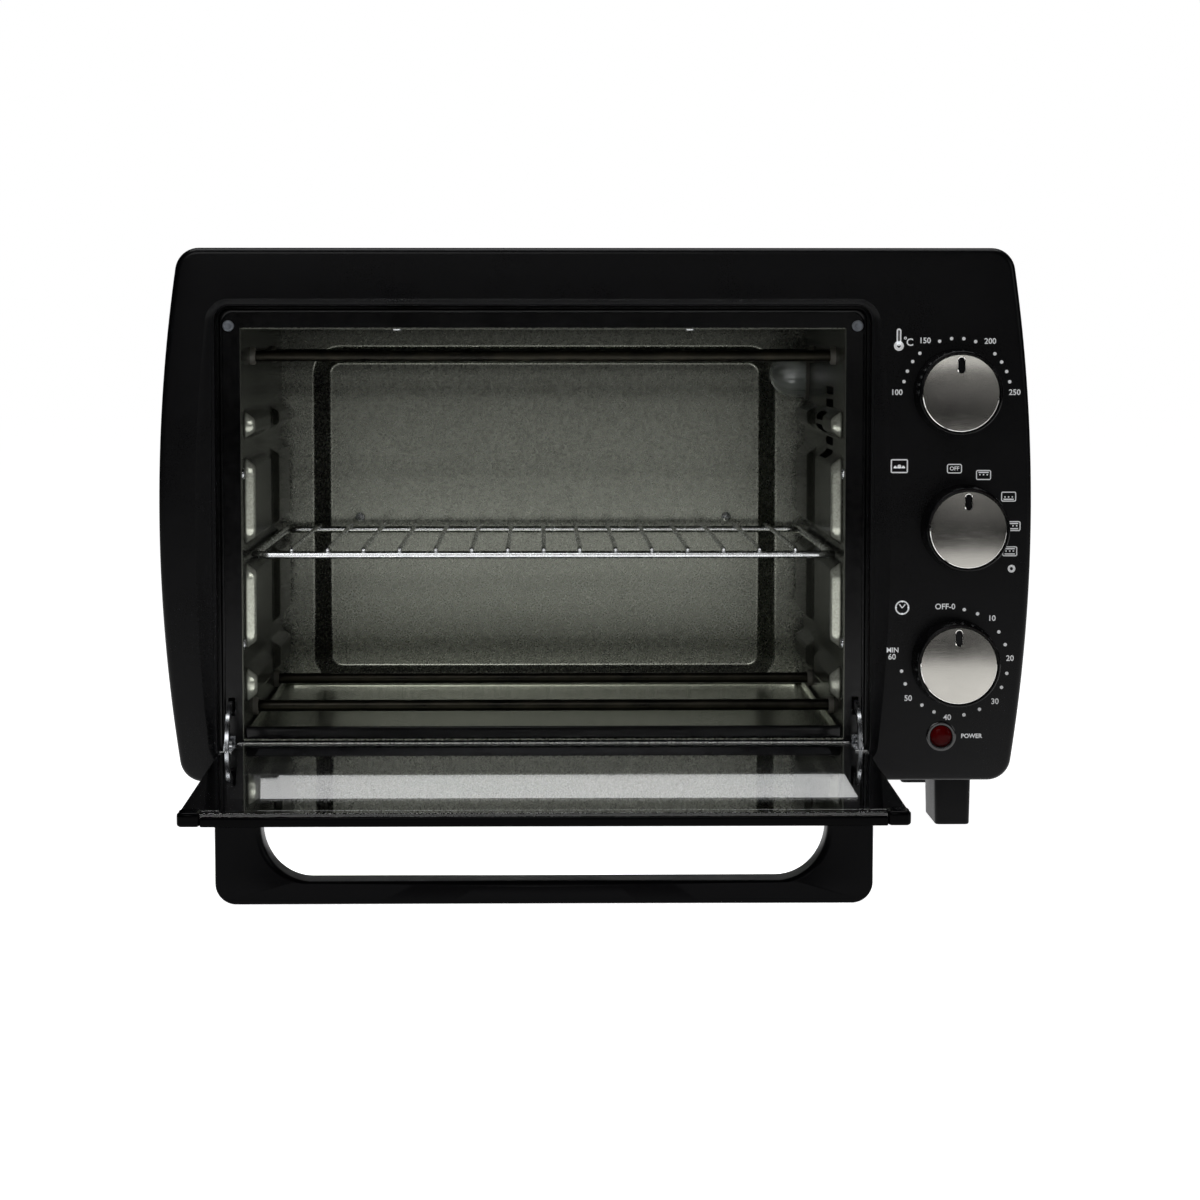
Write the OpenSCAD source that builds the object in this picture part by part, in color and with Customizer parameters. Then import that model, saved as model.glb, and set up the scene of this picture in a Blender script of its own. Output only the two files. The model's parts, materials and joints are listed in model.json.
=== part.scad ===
// Toaster oven with a drop-down glass door, a wire rack, a crumb tray and three dials.
// The door lies open. X runs to the right, Y to the back and Z up.
// The origin is on the worktop, in the middle of the floor space that the oven takes with its door open.

/* [Overall] */
// Widest width of the fascia, at half its height
fascia_w = 474; // [420:1:570]
// Height of the fascia
fascia_h = 290; // [240:1:350]
// Depth from the front of the fascia to the rear panel
body_d = 315; // [262:1:380]
// Gap between the fascia and the worktop
foot_gap = 31; // [30:1:45]

/* [Fascia] */
// How far the sides bow out at half height
side_bow = 11.7; // [6:0.1:16]
// Radius of the fascia's corners
fascia_corner_r = 13; // [8:0.5:20]
// Depth of the fascia moulding, front to back
fascia_d = 28; // [22:1:36]
// Wall thickness of the fascia moulding
fascia_wall = 2.5; // [2:0.1:3]
// Fascia left of the door recess, at half height
left_margin = 30.5; // [24:0.5:40]
// Control panel right of the door recess, at half height
panel_w = 87.5; // [80:0.5:110]
// Fascia above the door recess
top_margin = 31; // [20:0.5:40]
// Fascia below the door recess
bottom_margin = 11.5; // [8:0.5:20]
// Depth of the door recess
recess_d = 12; // [11:0.5:14]
// Corner radius of the door recess
recess_r = 8; // [4:0.5:12]
// Width of the hollow beside the door recess, at half height
scallop_w = 10; // [4:0.5:12]
// Depth of the hollow beside the door recess
scallop_d = 3; // [1:0.5:5]

/* [Sheet metal] */
// Thickness of the steel sheet
sheet = 0.6; // [0.5:0.1:0.8]
// Gap between the outer cover and the inside of the fascia
cover_gap = 0.3; // [0.2:0.1:0.5]
// Height of the base plate above the fascia's lower edge
base_rise = 3; // [2.6:0.1:5]
// Width of a vent slot
vent_w = 3; // [2:0.5:4]
// Length of a vent slot
vent_l = 32; // [20:1:40]
// Distance between vent slots
vent_pitch = 8; // [6:0.5:10]
// Number of vent slots in a row
vent_count = 12; // [6:1:14]

/* [Cavity] */
// Frame to be seen at each side of the oven opening
frame_side = 13; // [12:0.5:15]
// Frame below the cavity floor, within the door recess
frame_below = 10.5; // [10:0.5:14]
// Frame above the oven opening
frame_above = 12; // [8:0.5:16]
// Space between the cavity and the rear panel
rear_gap = 17; // [14:0.5:24]
// Depth of the frame's return lip
lip_d = 12; // [8:0.5:14]
// Depth of the pressed panel in the back wall
back_press = 8; // [4:0.5:10]
// Width of the sloped band round the pressed panel
back_slope = 12; // [8:0.5:14]
// Flat rim of the back wall outside the sloped band
back_rim = 14; // [8:0.5:20]

/* [Rack guides] */
// Height of the lowest guide groove above the cavity floor
guide_first = 43; // [36:0.5:50]
// Depth of the highest guide groove below the ceiling
guide_last = 65.4; // [56:0.1:80]
// Number of guide grooves
guide_count = 3; // [2:1:3]
// Height of a guide groove at the wall
groove_h = 8; // [7:0.5:9.6]
// How far the pads between the grooves stand out from the wall
pad_rise = 6; // [5:0.5:7.2]
// Width of a pad's sloped edge
pad_slope = 4; // [3:0.5:5]
// Distance of the pads from the front and the back of the cavity
pad_end = 12; // [10:0.5:20]
// Gap between the pads and the insulators below them and the lamp above them
pad_gap = 0.6; // [0.4:0.1:1.5]

/* [Heating elements] */
// Radius of an element's sheath
element_r = 3.3; // [2.8:0.1:4]
// Distance of the lower elements above the cavity floor
element_low = 12; // [10.5:0.5:15]
// Distance of the upper elements below the ceiling
element_high = 15; // [10:0.5:20]
// Distance of the front elements from the front of the cavity
element_front = 60; // [40:1:80]
// Distance of the rear elements from the back of the cavity
element_rear = 76; // [50:1:95]
// Length of an element's end outside the cavity
element_tail = 16; // [12:1:20]
// Outer radius of an insulator
insulator_r = 5; // [4.6:0.1:6]

/* [Rack and tray] */
// Radius of the rack's outer wire
rack_wire_r = 2.1; // [1.8:0.1:2.5]
// Radius of the rack's rungs
rung_r = 1.25; // [1:0.05:1.5]
// Distance between rungs
rung_pitch = 20; // [16:0.5:24]
// Distance of the rack from the front of the cavity
rack_front = 30; // [20:1:40]
// Distance of the rack from the back of the cavity
rack_rear = 14; // [6:1:20]
// Gap at each side of the rack and of the tray
slide_gap = 1.2; // [0.8:0.1:2]
// Height of the tray's rim
tray_rim_h = 5; // [4:0.5:6]
// Height of the tray's front strip
tray_front_h = 6.7; // [5:0.1:7]
// Thickness of the tray's front strip
tray_front_t = 3.4; // [3:0.1:4]

/* [Door] */
// Angle of the open door below the horizontal
door_droop = 1.1; // [0:0.1:1.4]
// Gap at each side of the closed door
door_side_gap = 3; // [2.5:0.1:4]
// Gap above the closed door
door_top_gap = 4; // [3:0.1:6]
// Thickness of the glass
glass_t = 4; // [3:0.1:4.8]
// Distance of the hinge axis behind the front of the fascia
hinge_back = 4.9; // [4:0.1:6]
// Height of the hinge axis above the lower edge of the recess
hinge_rise = 6.5; // [6:0.1:8]
// Distance of the glass's inner face from the hinge axis
glass_inner = 2.6; // [2:0.1:3]
// How far the glass runs past the hinge axis
glass_past = 4; // [3:0.1:4.4]
// Radius of the hinge pins
pin_r = 2; // [1.5:0.1:2.2]
// Running clearance of the pins and shafts
fit_gap = 0.05; // [0.02:0.01:0.08]
// Inner radius of the stay arms' arc
stay_r = 20; // [16:0.5:24]
// Width of the stay arms' arc
stay_w = 6; // [5:0.5:7]
// Thickness of a stay arm
stay_t = 2; // [1.6:0.1:2.4]

/* [Handle] */
// Distance of the handle's ends from the door's sides
handle_inset = 18; // [12:0.5:26]
// Gap between the worktop and the handle of the open door
handle_clear = 3.2; // [2:0.1:5]
// Thickness of the handle's bar
handle_bar = 11; // [9:0.5:13.2]
// Depth of the handle along the door
handle_d = 20; // [16:0.5:26]
// Width of a handle leg where it meets the rail
handle_leg = 22; // [18:0.5:27]
// Outer corner radius of the handle
handle_r = 10; // [6:0.5:12]
// Width of the curve between a leg and the bar
handle_sweep = 24; // [16:0.5:28]

/* [Controls] */
// Height of the upper knob below the fascia's upper edge
knob_drop = 78; // [66:0.5:90]
// Height of the lower knob above the fascia's lower edge
knob_lift = 65; // [58:0.5:78]
// Distance of the upper and lower knobs from the widest side
knob_in = 41.5; // [38:0.5:46]
// How far the middle knob stands further out than the others
knob_bow = 4.5; // [0:0.5:6]
// Diameter of a knob's skirt
knob_d = 47.5; // [40:0.5:48]
// Width of the black rim round a knob's metal face
knob_rim = 1.05; // [0.8:0.05:1.5]
// Height of a knob
knob_h = 19; // [15:0.5:24]
// Gap between a knob and the panel
knob_gap = 1.2; // [0.8:0.1:2]
// Radius of a control shaft
shaft_r = 3; // [2.5:0.1:3.6]
// Height of the indicator above the fascia's lower edge
lamp_lift = 24.5; // [20:0.5:29.4]
// Distance of the indicator from the widest side
lamp_in = 48.5; // [42:0.5:54]
// Radius of the indicator lens
lens_r = 6; // [5:0.1:7]

/* [Oven lamp] */
// Distance of the oven lamp from the back of the cavity
oven_lamp_back = 30; // [22:0.5:36]
// Distance of the oven lamp below the ceiling
oven_lamp_drop = 27; // [22:0.5:32]
// Outer radius of the lamp glass
lamp_glass_r = 15; // [12:0.5:18]
// How far the lamp glass stands into the cavity
lamp_glass_h = 24; // [18:0.5:28]

/* [Feet] */
// Width of a foot
foot_w = 20.5; // [16:0.5:26]
// Length of a foot, front to back
foot_l = 50; // [30:1:60]
// Distance of the feet from the front and the back of the body
foot_set = 45; // [30:1:54]
// Distance of a foot's outer side from the widest side
foot_in = 26; // [24:0.5:32]

/* [Cord entry] */
// Radius of the bore in the cord gland
cord_r = 3.6; // [3:0.1:4.4]
// How far the gland stands out from the rear panel
gland_out = 7; // [4:0.5:10]
// Length of the gland inside the rear panel
gland_in = 8; // [5:0.5:10]

/* [Hidden] */
$fn = 48;

// A cut runs this far past what it cuts
over = 1;
// Steps in a fascia side and in a rounded corner
side_steps = 20;
corner_steps = 6;

// Fascia and door recess
fascia_z = foot_gap + fascia_h / 2;
half_h = fascia_h / 2;
bow_r = (half_h * half_h + side_bow * side_bow) / (2 * side_bow);
recess_w = fascia_w - left_margin - panel_w;
recess_h = fascia_h - top_margin - bottom_margin;
door_x = (left_margin - panel_w) / 2;
recess_low = foot_gap + bottom_margin;
recess_z = recess_low + recess_h / 2;
frame_y = recess_d;
cover_inset = fascia_wall + cover_gap;
cover_y = frame_y + sheet + over;
base_z = foot_gap + base_rise;

// Cavity, measured to the inner faces of its walls
cavity_w = recess_w - 2 * frame_side - 2 * sheet;
cavity_low = recess_low + frame_below;
cavity_high = foot_gap + fascia_h - top_margin - frame_above - sheet;
cavity_h = cavity_high - cavity_low;
cavity_z = (cavity_low + cavity_high) / 2;
cavity_back = body_d - rear_gap;
wall_hole_r = 2.3;
wall_hole_pitch = 7.2;
wall_hole_count = 6;
wall_hole_y = frame_y + 88;
wall_hole_z = cavity_high - 35;

// Heating elements: [y, z] of each
element_y = [frame_y + element_front, cavity_back - element_rear];
element_z = [cavity_low + element_low, cavity_high - element_high];
element_gap = 0.1;
insulator_in = 3;
insulator_out = 6;

// Oven lamp, along X through the right wall: [y, z]
oven_lamp = [cavity_back - oven_lamp_back, cavity_high - oven_lamp_drop];
lamp_hole_r = 12;
lamp_rim_r = lamp_glass_r + 1.5;
lamp_flange_t = 2;
lamp_cup_d = 26;
lamp_glass_t = 1.6;
bulb_r = 8;
bulb_neck_r = 6.5;
bulb_reach = 10;

// Rack guides: the grooves between the pads, and the pads' lower and upper edges
guide_low = cavity_low + guide_first;
guide_pitch = (cavity_high - guide_last - guide_low) / (guide_count - 1);
guide_z = [for (i = [0:guide_count - 1]) guide_low + i * guide_pitch];
pad_y = [frame_y + pad_end, cavity_back - pad_end];
pad_edges = concat([element_z[0] + insulator_r + pad_gap],
                   [for (z = guide_z) for (side = [-1, 1]) z + side * groove_h / 2],
                   [oven_lamp[1] - lamp_rim_r - pad_gap]);

// Rack and crumb tray
rack_guide = 1;
rack_bar_r = rack_wire_r + 0.15;
rest_gap = 0.3;
rack_z = guide_z[rack_guide] - groove_h / 2 + rack_wire_r + rest_gap;
rack_half = cavity_w / 2 - slide_gap;
rack_y = [frame_y + rack_front, cavity_back - rack_rear];
rack_weld = 0.5;
rung_side_min = 12;
rung_half_count = floor((rack_half - rung_side_min) / rung_pitch);
tray_z = cavity_low + rest_gap;
tray_half = cavity_w / 2 - slide_gap;
tray_y = [frame_y + 3, cavity_back - 5];

// Door, in its own frame: x from the door's middle, -y from the hinge to the free edge, z to the inside
hinge_z = recess_low + hinge_rise;
door_half = recess_w / 2 - door_side_gap;
door_reach = recess_h - hinge_rise - door_top_gap;
glass_low = glass_inner - glass_t;
rail_lip = 2;
rail_flange_t = 2.5;
rail_d = 14;
rail_lip_top = 0.6;
glass_reach = door_reach - rail_lip;
glass_half = door_half - 0.6;
cap_w = 11;
cap_wall = 0.6;
bottom_rail_y = 3;
bottom_rail_d = 11;
bottom_rail_t = 3.6;
stay_x = door_half - 4;
stay_from = 60;
stay_to = 192;
stay_foot = stay_r + stay_w;
lug_r = 5;
notch_x = stay_x - stay_t - 1;
notch_y = stay_foot + 2;
handle_half = door_half - handle_inset;
handle_y = -door_reach + 1;
handle_top = glass_low - rail_flange_t;
handle_low = (handle_clear - hinge_z - handle_y * sin(door_droop)) / cos(door_droop);
handle_screw_r = 2;
handle_screw_head_r = 3.8;
handle_screw_seat = 14;

// Hinge brackets, pins and door springs
bracket_x = stay_x + stay_t / 2 + 0.4;
bracket_t = 1.6;
bracket_side = bracket_x + bracket_t;
bracket_gap = 0.4;
bracket_corner = max(0, recess_r - (recess_w / 2 - bracket_side));
bracket_sag = recess_r - sqrt(recess_r * recess_r - bracket_corner * bracket_corner);
bracket_low = bracket_sag + bracket_gap - hinge_rise;
bracket_high = 6;
bracket_foot_x = notch_x + 1;
bracket_foot_t = 0.9;
pin_in = notch_x + 0.8;
pin_head_r = 3;
pin_head_t = 0.8;
spring_r = 3.5;
spring_wire_r = 0.7;
spring_front = [frame_y + 12, hinge_z + stay_r - 2];
spring_clear = insulator_r + spring_r + 0.9;
spring_sight = [element_y[0] - spring_front[0], element_z[0] - spring_front[1]];
spring_dip = asin(spring_clear / norm(spring_sight)) - atan2(spring_sight[1], spring_sight[0]);
spring_rear_z = base_z + 12;
spring_rear = [spring_front[0] + (spring_front[1] - spring_rear_z) / tan(spring_dip), spring_rear_z];
spring_hook = 8;
spring_tab_t = 1.5;
spring_tab_w = 8;
spring_tab_over = 4;
slot_side_gap = 0.8;
slot_below = 3;
slot_above = 1;
spring_hole_r = 1.4;
spring_past = 3;
bumper_drop = 11;
bumper_l = frame_y - hinge_back - glass_inner - cap_wall - fit_gap;

// Controls: [x, z] of each knob, from the top down
knob_x = fascia_w / 2 - knob_in;
knob_top = foot_gap + fascia_h - knob_drop;
knob_low = foot_gap + knob_lift;
knobs = [[knob_x, knob_top], [knob_x + knob_bow, (knob_top + knob_low) / 2], [knob_x, knob_low]];
cap_t = 2;
cap_gap = 0.1;
cap_proud = 0.5;
knob_draft = 1.2;
knob_wall = 2;
knob_face_d = knob_d - 2 * (knob_draft + knob_rim);
knob_hub_r = 6;
pointer_w = 3.1;
pointer_l = 8;
pointer_inset = 2.5;
shaft_front = 8;
shaft_end = 26;
bushing_r = 4.6;
bushing_front = 8;
panel_hole_r = 5.4;
indicator = [fascia_w / 2 - lamp_in, foot_gap + lamp_lift];
housing_wall = 1;
housing_r = lens_r + housing_wall;
housing_rim_r = housing_r + 1.2;
housing_rim_t = 1;
housing_d = 24;
housing_floor = 2;
lens_proud = 2;
lens_d = 14;
lens_wall = 1.5;
neon_front = 4;
neon_r = 2.2;
timer_depth = 34;
timer_back = frame_y + sheet + timer_depth;
bell_post_l = 5;
bell_post_r = 3;
bell_wall = 1;

// Fasteners
screw_r = 1.5;
screw_head_r = 3;
screw_head_t = 1.4;
screw_gap = 0.1;
screw_l = 6;
lip_screw_y = frame_y + 6;
lip_screw_side_z = [cavity_low + 52, cavity_high - 79];
lip_screw_top_x = 80;
back_screw_x = cavity_w / 2 - back_rim - back_slope - 22.4;
back_screw_z = cavity_z - 6.2;
panel_screw_side = fascia_w / 2 - 30;
panel_screw_up = fascia_h / 2 - 14;

// Feet and bottom
foot_x = fascia_w / 2 - foot_in - foot_w / 2;
foot_corner_r = 3;
feet_y = [foot_set + foot_l / 2, body_d - foot_set - foot_l / 2];

// Cord gland
gland = [fascia_w / 2 - 55, foot_gap + 40];
block_y = body_d - 60;
block_x = gland[0] - 6;
block_size = [28, 20, 16];
gland_r = 6;
gland_rim_r = 9;
gland_rim_t = 3;

// Vents: heights above and below the fascia's middle, and the distance from the rear
side_vent_y = body_d - 90;
side_vent_z = 60;
rear_vent_z = [-50, 0, 50];
cut_half = 30;

// The oven's front stands this far from the origin, so that the open oven is centred on it
front_y = (door_reach - hinge_back - body_d - sheet - gland_out) / 2;

// ---------- Helpers ----------

// Moves an oven piece to its place. Its pieces measure y from the front of the fascia.
module on_oven() {
    translate([0, front_y, 0]) children();
}

// Moves a cavity piece to its place. x is measured from the middle of the door.
module in_cavity() {
    on_oven() translate([door_x, 0, 0]) children();
}

// Moves a door piece from the door's own frame to the open door
module on_door() {
    in_cavity() translate([0, hinge_back, hinge_z]) rotate([door_droop, 0, 0]) children();
}

// A box between two opposite corners
module box(low, high) {
    translate(low) cube(high - low);
}

// A round bar along X, Y or Z between two places
module bar_x(from, to, r) {
    translate([from, 0, 0]) rotate([0, 90, 0]) cylinder(r = r, h = to - from);
}

module bar_y(from, to, r) {
    translate([0, from, 0]) rotate([-90, 0, 0]) cylinder(r = r, h = to - from);
}

module bar_z(from, to, r) {
    translate([0, 0, from]) cylinder(r = r, h = to - from);
}

// An outline in X and Z, drawn out along Y
module drawn_y(from, to) {
    translate([0, to, 0]) rotate([90, 0, 0]) linear_extrude(to - from) children();
}

// An outline in Y and Z, drawn out along X
module drawn_x(from, to) {
    translate([from, 0, 0]) rotate([90, 0, 90]) linear_extrude(to - from) children();
}

// Makes the pieces on both sides of the middle
module both_sides() {
    for (side = [0, 1]) mirror([side, 0, 0]) children();
}

function arc_points(x, y, r, from, to, steps) =
    [for (i = [0:steps]) let (a = from + (to - from) * i / steps) [x + r * cos(a), y + r * sin(a)]];

function rounded_outline(w, h, r) =
    let (x = w / 2 - r, y = h / 2 - r)
    concat(arc_points(x, y, r, 0, 90, corner_steps), arc_points(-x, y, r, 90, 180, corner_steps),
           arc_points(-x, -y, r, 180, 270, corner_steps), arc_points(x, -y, r, 270, 360, corner_steps));

// The fascia's outline, set in by a margin: sides that are arcs, met by round corners
function bowed_outline(margin) =
    let (big_r = bow_r - margin, r = fascia_corner_r - margin, h = half_h - margin,
         middle = fascia_w / 2 - bow_r, tip = asin((h - r) / (big_r - r)),
         corner_x = middle + (big_r - r) * cos(tip), corner_z = h - r)
    concat(arc_points(middle, 0, big_r, -tip, tip, side_steps),
           arc_points(corner_x, corner_z, r, tip, 90, corner_steps),
           arc_points(-corner_x, corner_z, r, 90, 180 - tip, corner_steps),
           arc_points(-middle, 0, big_r, 180 - tip, 180 + tip, side_steps),
           arc_points(-corner_x, -corner_z, r, 180 + tip, 270, corner_steps),
           arc_points(corner_x, -corner_z, r, 270, 360 - tip, corner_steps));

module bowed_block(margin, from, to) {
    translate([0, 0, fascia_z]) drawn_y(from, to) polygon(bowed_outline(margin));
}

module rounded_block(x, z, w, h, r, from, to) {
    translate([x, 0, z]) drawn_y(from, to) polygon(rounded_outline(w, h, r));
}

// A screw with its head's seat at 0, the shank towards -Z and the head above
module screw(length) {
    bar_z(-length, 0, screw_r);
    bar_z(0, screw_head_t, screw_head_r);
}

// A raised pad with sloped edges on the plane x = 0, standing out towards +X
module raised_pad(y, z, rise, slope) {
    intersection() {
        drawn_y(y[0], y[1])
            polygon([[0, z[0]], [rise, z[0] + slope], [rise, z[1] - slope], [0, z[1]]]);
        translate([0, 0, z[0]]) linear_extrude(z[1] - z[0])
            polygon([[0, y[0]], [rise, y[0] + slope], [rise, y[1] - slope], [0, y[1]]]);
    }
}

// ---------- Shell ----------

module side_scallop() {
    // A lens between the recess's side and an arc that meets it at its ends
    chord = recess_h / 2;
    r = (chord * chord + scallop_w * scallop_w) / (2 * scallop_w);
    middle = recess_w / 2 + scallop_w - r;
    translate([door_x, 0, recess_z]) drawn_y(-over, scallop_d)
        polygon(arc_points(middle, 0, r, -asin(chord / r), asin(chord / r), side_steps));
}

module front_bezel() {
    color("#17181a") on_oven() difference() {
        union() {
            difference() {
                bowed_block(0, 0, fascia_d);
                bowed_block(fascia_wall, fascia_wall, fascia_d + over);
            }
            rounded_block(door_x, recess_z, recess_w + 2 * fascia_wall, recess_h + 2 * fascia_wall,
                          recess_r + fascia_wall, 0, recess_d);
            for (side = [-1, 1]) intersection() {
                bowed_block(fascia_wall / 2, fascia_wall / 2, scallop_d + fascia_wall);
                translate([door_x + side * recess_w / 2, 0, recess_z])
                    box([-scallop_w - fascia_wall, 0, -recess_h / 2],
                        [scallop_w + fascia_wall, scallop_d + fascia_wall, recess_h / 2]);
            }
        }
        rounded_block(door_x, recess_z, recess_w, recess_h, recess_r, -over, recess_d + over);
        side_scallop();
        translate([2 * door_x, 0, 0]) mirror([1, 0, 0]) side_scallop();
        for (k = knobs) translate([k[0], 0, k[1]]) bar_y(-over, fascia_wall + over, panel_hole_r);
        translate([indicator[0], 0, indicator[1]])
            bar_y(-over, fascia_wall + over, housing_r + screw_gap);
    }
}

module front_frame() {
    opening_half = cavity_w / 2 + sheet;
    opening_low = cavity_low - sheet;
    opening_high = cavity_high + sheet;
    color("#101113") in_cavity() difference() {
        union() {
            translate([-door_x, 0, 0]) bowed_block(cover_inset, frame_y, frame_y + sheet);
            box([-opening_half - sheet, frame_y, opening_low - sheet],
                [opening_half + sheet, frame_y + lip_d, opening_high + sheet]);
        }
        box([-opening_half, frame_y - over, opening_low],
            [opening_half, frame_y + lip_d + over, opening_high]);
        both_sides() translate([stay_x, 0, hinge_z])
            box([-stay_t / 2 - slot_side_gap, frame_y - over, stay_r - slot_below],
                [stay_t / 2 + slot_side_gap, frame_y + sheet + over, stay_foot + slot_above]);
        translate([-door_x, 0, 0]) {
            for (k = knobs) translate([k[0], 0, k[1]])
                bar_y(frame_y - over, frame_y + sheet + over, bushing_r + screw_gap);
            translate([indicator[0], 0, indicator[1]])
                bar_y(frame_y - over, frame_y + sheet + over, housing_r + screw_gap);
        }
        lip_screw_shanks(screw_r + screw_gap);
    }
}

module vent_row(across) {
    // A row of upright slots along Y or X, cut through a sheet at 0
    for (i = [0:vent_count - 1]) let (at = (i - (vent_count - 1) / 2) * vent_pitch)
        translate(across ? [at, 0, 0] : [0, at, 0])
            box(across ? [-vent_w / 2, -over - sheet, -vent_l / 2] : [-cut_half, -vent_w / 2, -vent_l / 2],
                across ? [vent_w / 2, over + sheet, vent_l / 2] : [cut_half, vent_w / 2, vent_l / 2]);
}

module outer_cover() {
    color("#1b1c1e") on_oven() difference() {
        bowed_block(cover_inset, cover_y, body_d);
        bowed_block(cover_inset + sheet, cover_y - over, body_d + over);
        box([-fascia_w, cover_y - over, foot_gap], [fascia_w, body_d + over, base_z + sheet]);
        for (side = [-1, 1])
            translate([side * fascia_w / 2, side_vent_y, fascia_z + side_vent_z]) vent_row(false);
        translate([fascia_w / 2, side_vent_y, fascia_z - side_vent_z]) vent_row(false);
    }
}

module rear_panel() {
    color("#1b1c1e") on_oven() difference() {
        bowed_block(cover_inset, body_d, body_d + sheet);
        for (z = rear_vent_z) translate([door_x, body_d, fascia_z + z]) vent_row(true);
        translate([gland[0], 0, gland[1]])
            bar_y(body_d - over, body_d + sheet + over, gland_r + screw_gap);
        panel_screw_places() bar_y(-over, over + sheet, screw_r + screw_gap);
    }
}

module panel_screw_places() {
    for (x = [-panel_screw_side, 0, panel_screw_side]) for (z = [-panel_screw_up, panel_screw_up])
        translate([x, body_d, fascia_z + z]) children();
}

module panel_screws() {
    color("#8d8f92") on_oven() panel_screw_places()
        translate([0, sheet, 0]) rotate([-90, 0, 0]) screw(screw_l);
}

module base_plate() {
    color("#2a2b2d") on_oven() difference() {
        union() {
            intersection() {
                bowed_block(cover_inset, cover_y, body_d);
                box([-fascia_w, 0, base_z], [fascia_w, body_d, base_z + sheet]);
            }
            for (side = [-1, 1]) translate([door_x + side * stay_x, 0, 0])
                box([-spring_tab_w / 2, spring_rear[0], base_z],
                    [spring_tab_w / 2, spring_rear[0] + spring_tab_t, spring_rear[1] + spring_tab_over]);
        }
        feet_places() bar_z(base_z - over, base_z + sheet + over, screw_r + screw_gap);
        for (side = [-1, 1]) translate([door_x + side * stay_x, spring_rear[0], spring_rear[1]])
            bar_y(-over, spring_tab_t + over, spring_hole_r);
    }
}

// ---------- Cavity ----------

module pad_set(margin, rise) {
    for (i = [0:guide_count])
        raised_pad([pad_y[0] + margin, pad_y[1] - margin],
                   [pad_edges[2 * i] + margin, pad_edges[2 * i + 1] - margin], rise, pad_slope);
}

// A side wall with its inner face at x = 0 and its pads towards +X
module side_wall() {
    difference() {
        union() {
            box([-sheet, frame_y, cavity_low - sheet], [0, cavity_back, cavity_high + sheet]);
            pad_set(0, pad_rise);
        }
        translate([-sheet, 0, 0]) pad_set(sheet / 2, pad_rise);
        for (y = element_y) for (z = element_z)
            translate([0, y, z]) bar_x(-sheet - over, over, insulator_r + element_gap);
        for (z = lip_screw_side_z)
            translate([0, lip_screw_y, z]) bar_x(-sheet - over, over, screw_r + screw_gap);
    }
}

module cavity_left_wall() {
    color("#a9aca4") in_cavity() translate([-cavity_w / 2, 0, 0]) side_wall();
}

module cavity_right_wall() {
    color("#a9aca4") in_cavity() translate([cavity_w / 2, 0, 0]) mirror([1, 0, 0]) difference() {
        side_wall();
        translate([0, oven_lamp[0], oven_lamp[1]])
            bar_x(-sheet - over, over, lamp_hole_r + element_gap);
        for (i = [0:wall_hole_count - 1])
            translate([0, wall_hole_y, wall_hole_z - i * wall_hole_pitch])
                bar_x(-sheet - over, pad_rise + over, wall_hole_r);
    }
}

module cavity_ceiling() {
    color("#a9aca4") in_cavity() difference() {
        box([-cavity_w / 2, frame_y, cavity_high], [cavity_w / 2, cavity_back, cavity_high + sheet]);
        for (x = [-lip_screw_top_x, lip_screw_top_x]) translate([x, lip_screw_y, 0])
            bar_z(cavity_high - over, cavity_high + sheet + over, screw_r + screw_gap);
    }
}

module cavity_floor() {
    color("#a9aca4") in_cavity()
        box([-cavity_w / 2, frame_y, cavity_low - sheet], [cavity_w / 2, cavity_back, cavity_low]);
}

// The pressed panel, set in by a margin, standing back from the plane y = 0
module back_panel(margin) {
    half_w = cavity_w / 2 - back_rim - margin;
    half_z = cavity_h / 2 - back_rim - margin;
    intersection() {
        translate([0, 0, -half_z]) linear_extrude(2 * half_z)
            polygon([[-half_w, 0], [half_w, 0], [half_w - back_slope, back_press],
                     [-half_w + back_slope, back_press]]);
        drawn_x(-half_w, half_w)
            polygon([[0, -half_z], [0, half_z], [back_press, half_z - back_slope],
                     [back_press, -half_z + back_slope]]);
    }
}

module cavity_back_wall() {
    color("#a9aca4") in_cavity() translate([0, cavity_back, cavity_z]) difference() {
        union() {
            box([-cavity_w / 2 - sheet, 0, -cavity_h / 2 - sheet],
                [cavity_w / 2 + sheet, sheet, cavity_h / 2 + sheet]);
            translate([0, sheet, 0]) back_panel(0);
        }
        back_panel(sheet / 2);
        for (x = [-back_screw_x, back_screw_x]) translate([x, 0, back_screw_z - cavity_z])
            bar_y(0, back_press + sheet + over, screw_r + screw_gap);
    }
}

// The shanks' places in the frame's return lip, as bars of a given radius
module lip_screw_shanks(r) {
    both_sides() for (z = lip_screw_side_z) translate([cavity_w / 2, lip_screw_y, z])
        bar_x(-over, 2 * sheet + over, r);
    for (x = [-lip_screw_top_x, lip_screw_top_x]) translate([x, lip_screw_y, cavity_high])
        bar_z(-over, 2 * sheet + over, r);
}

module cavity_screws() {
    color("#c9ccd0") in_cavity() {
        both_sides() for (z = lip_screw_side_z)
            translate([cavity_w / 2, lip_screw_y, z]) rotate([0, -90, 0]) screw(screw_l);
        for (x = [-lip_screw_top_x, lip_screw_top_x])
            translate([x, lip_screw_y, cavity_high]) rotate([180, 0, 0]) screw(screw_l);
        for (x = [-back_screw_x, back_screw_x])
            translate([x, cavity_back + back_press, back_screw_z]) rotate([90, 0, 0]) screw(screw_l);
    }
}

// ---------- Heating elements and oven lamp ----------

module element(y, z) {
    color("#4a4638") in_cavity() translate([0, y, z])
        bar_x(-cavity_w / 2 - element_tail, cavity_w / 2 + element_tail, element_r);
}

module upper_front_element() {
    element(element_y[0], element_z[1]);
}

module upper_rear_element() {
    element(element_y[1], element_z[1]);
}

module lower_front_element() {
    element(element_y[0], element_z[0]);
}

module lower_rear_element() {
    element(element_y[1], element_z[0]);
}

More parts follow.
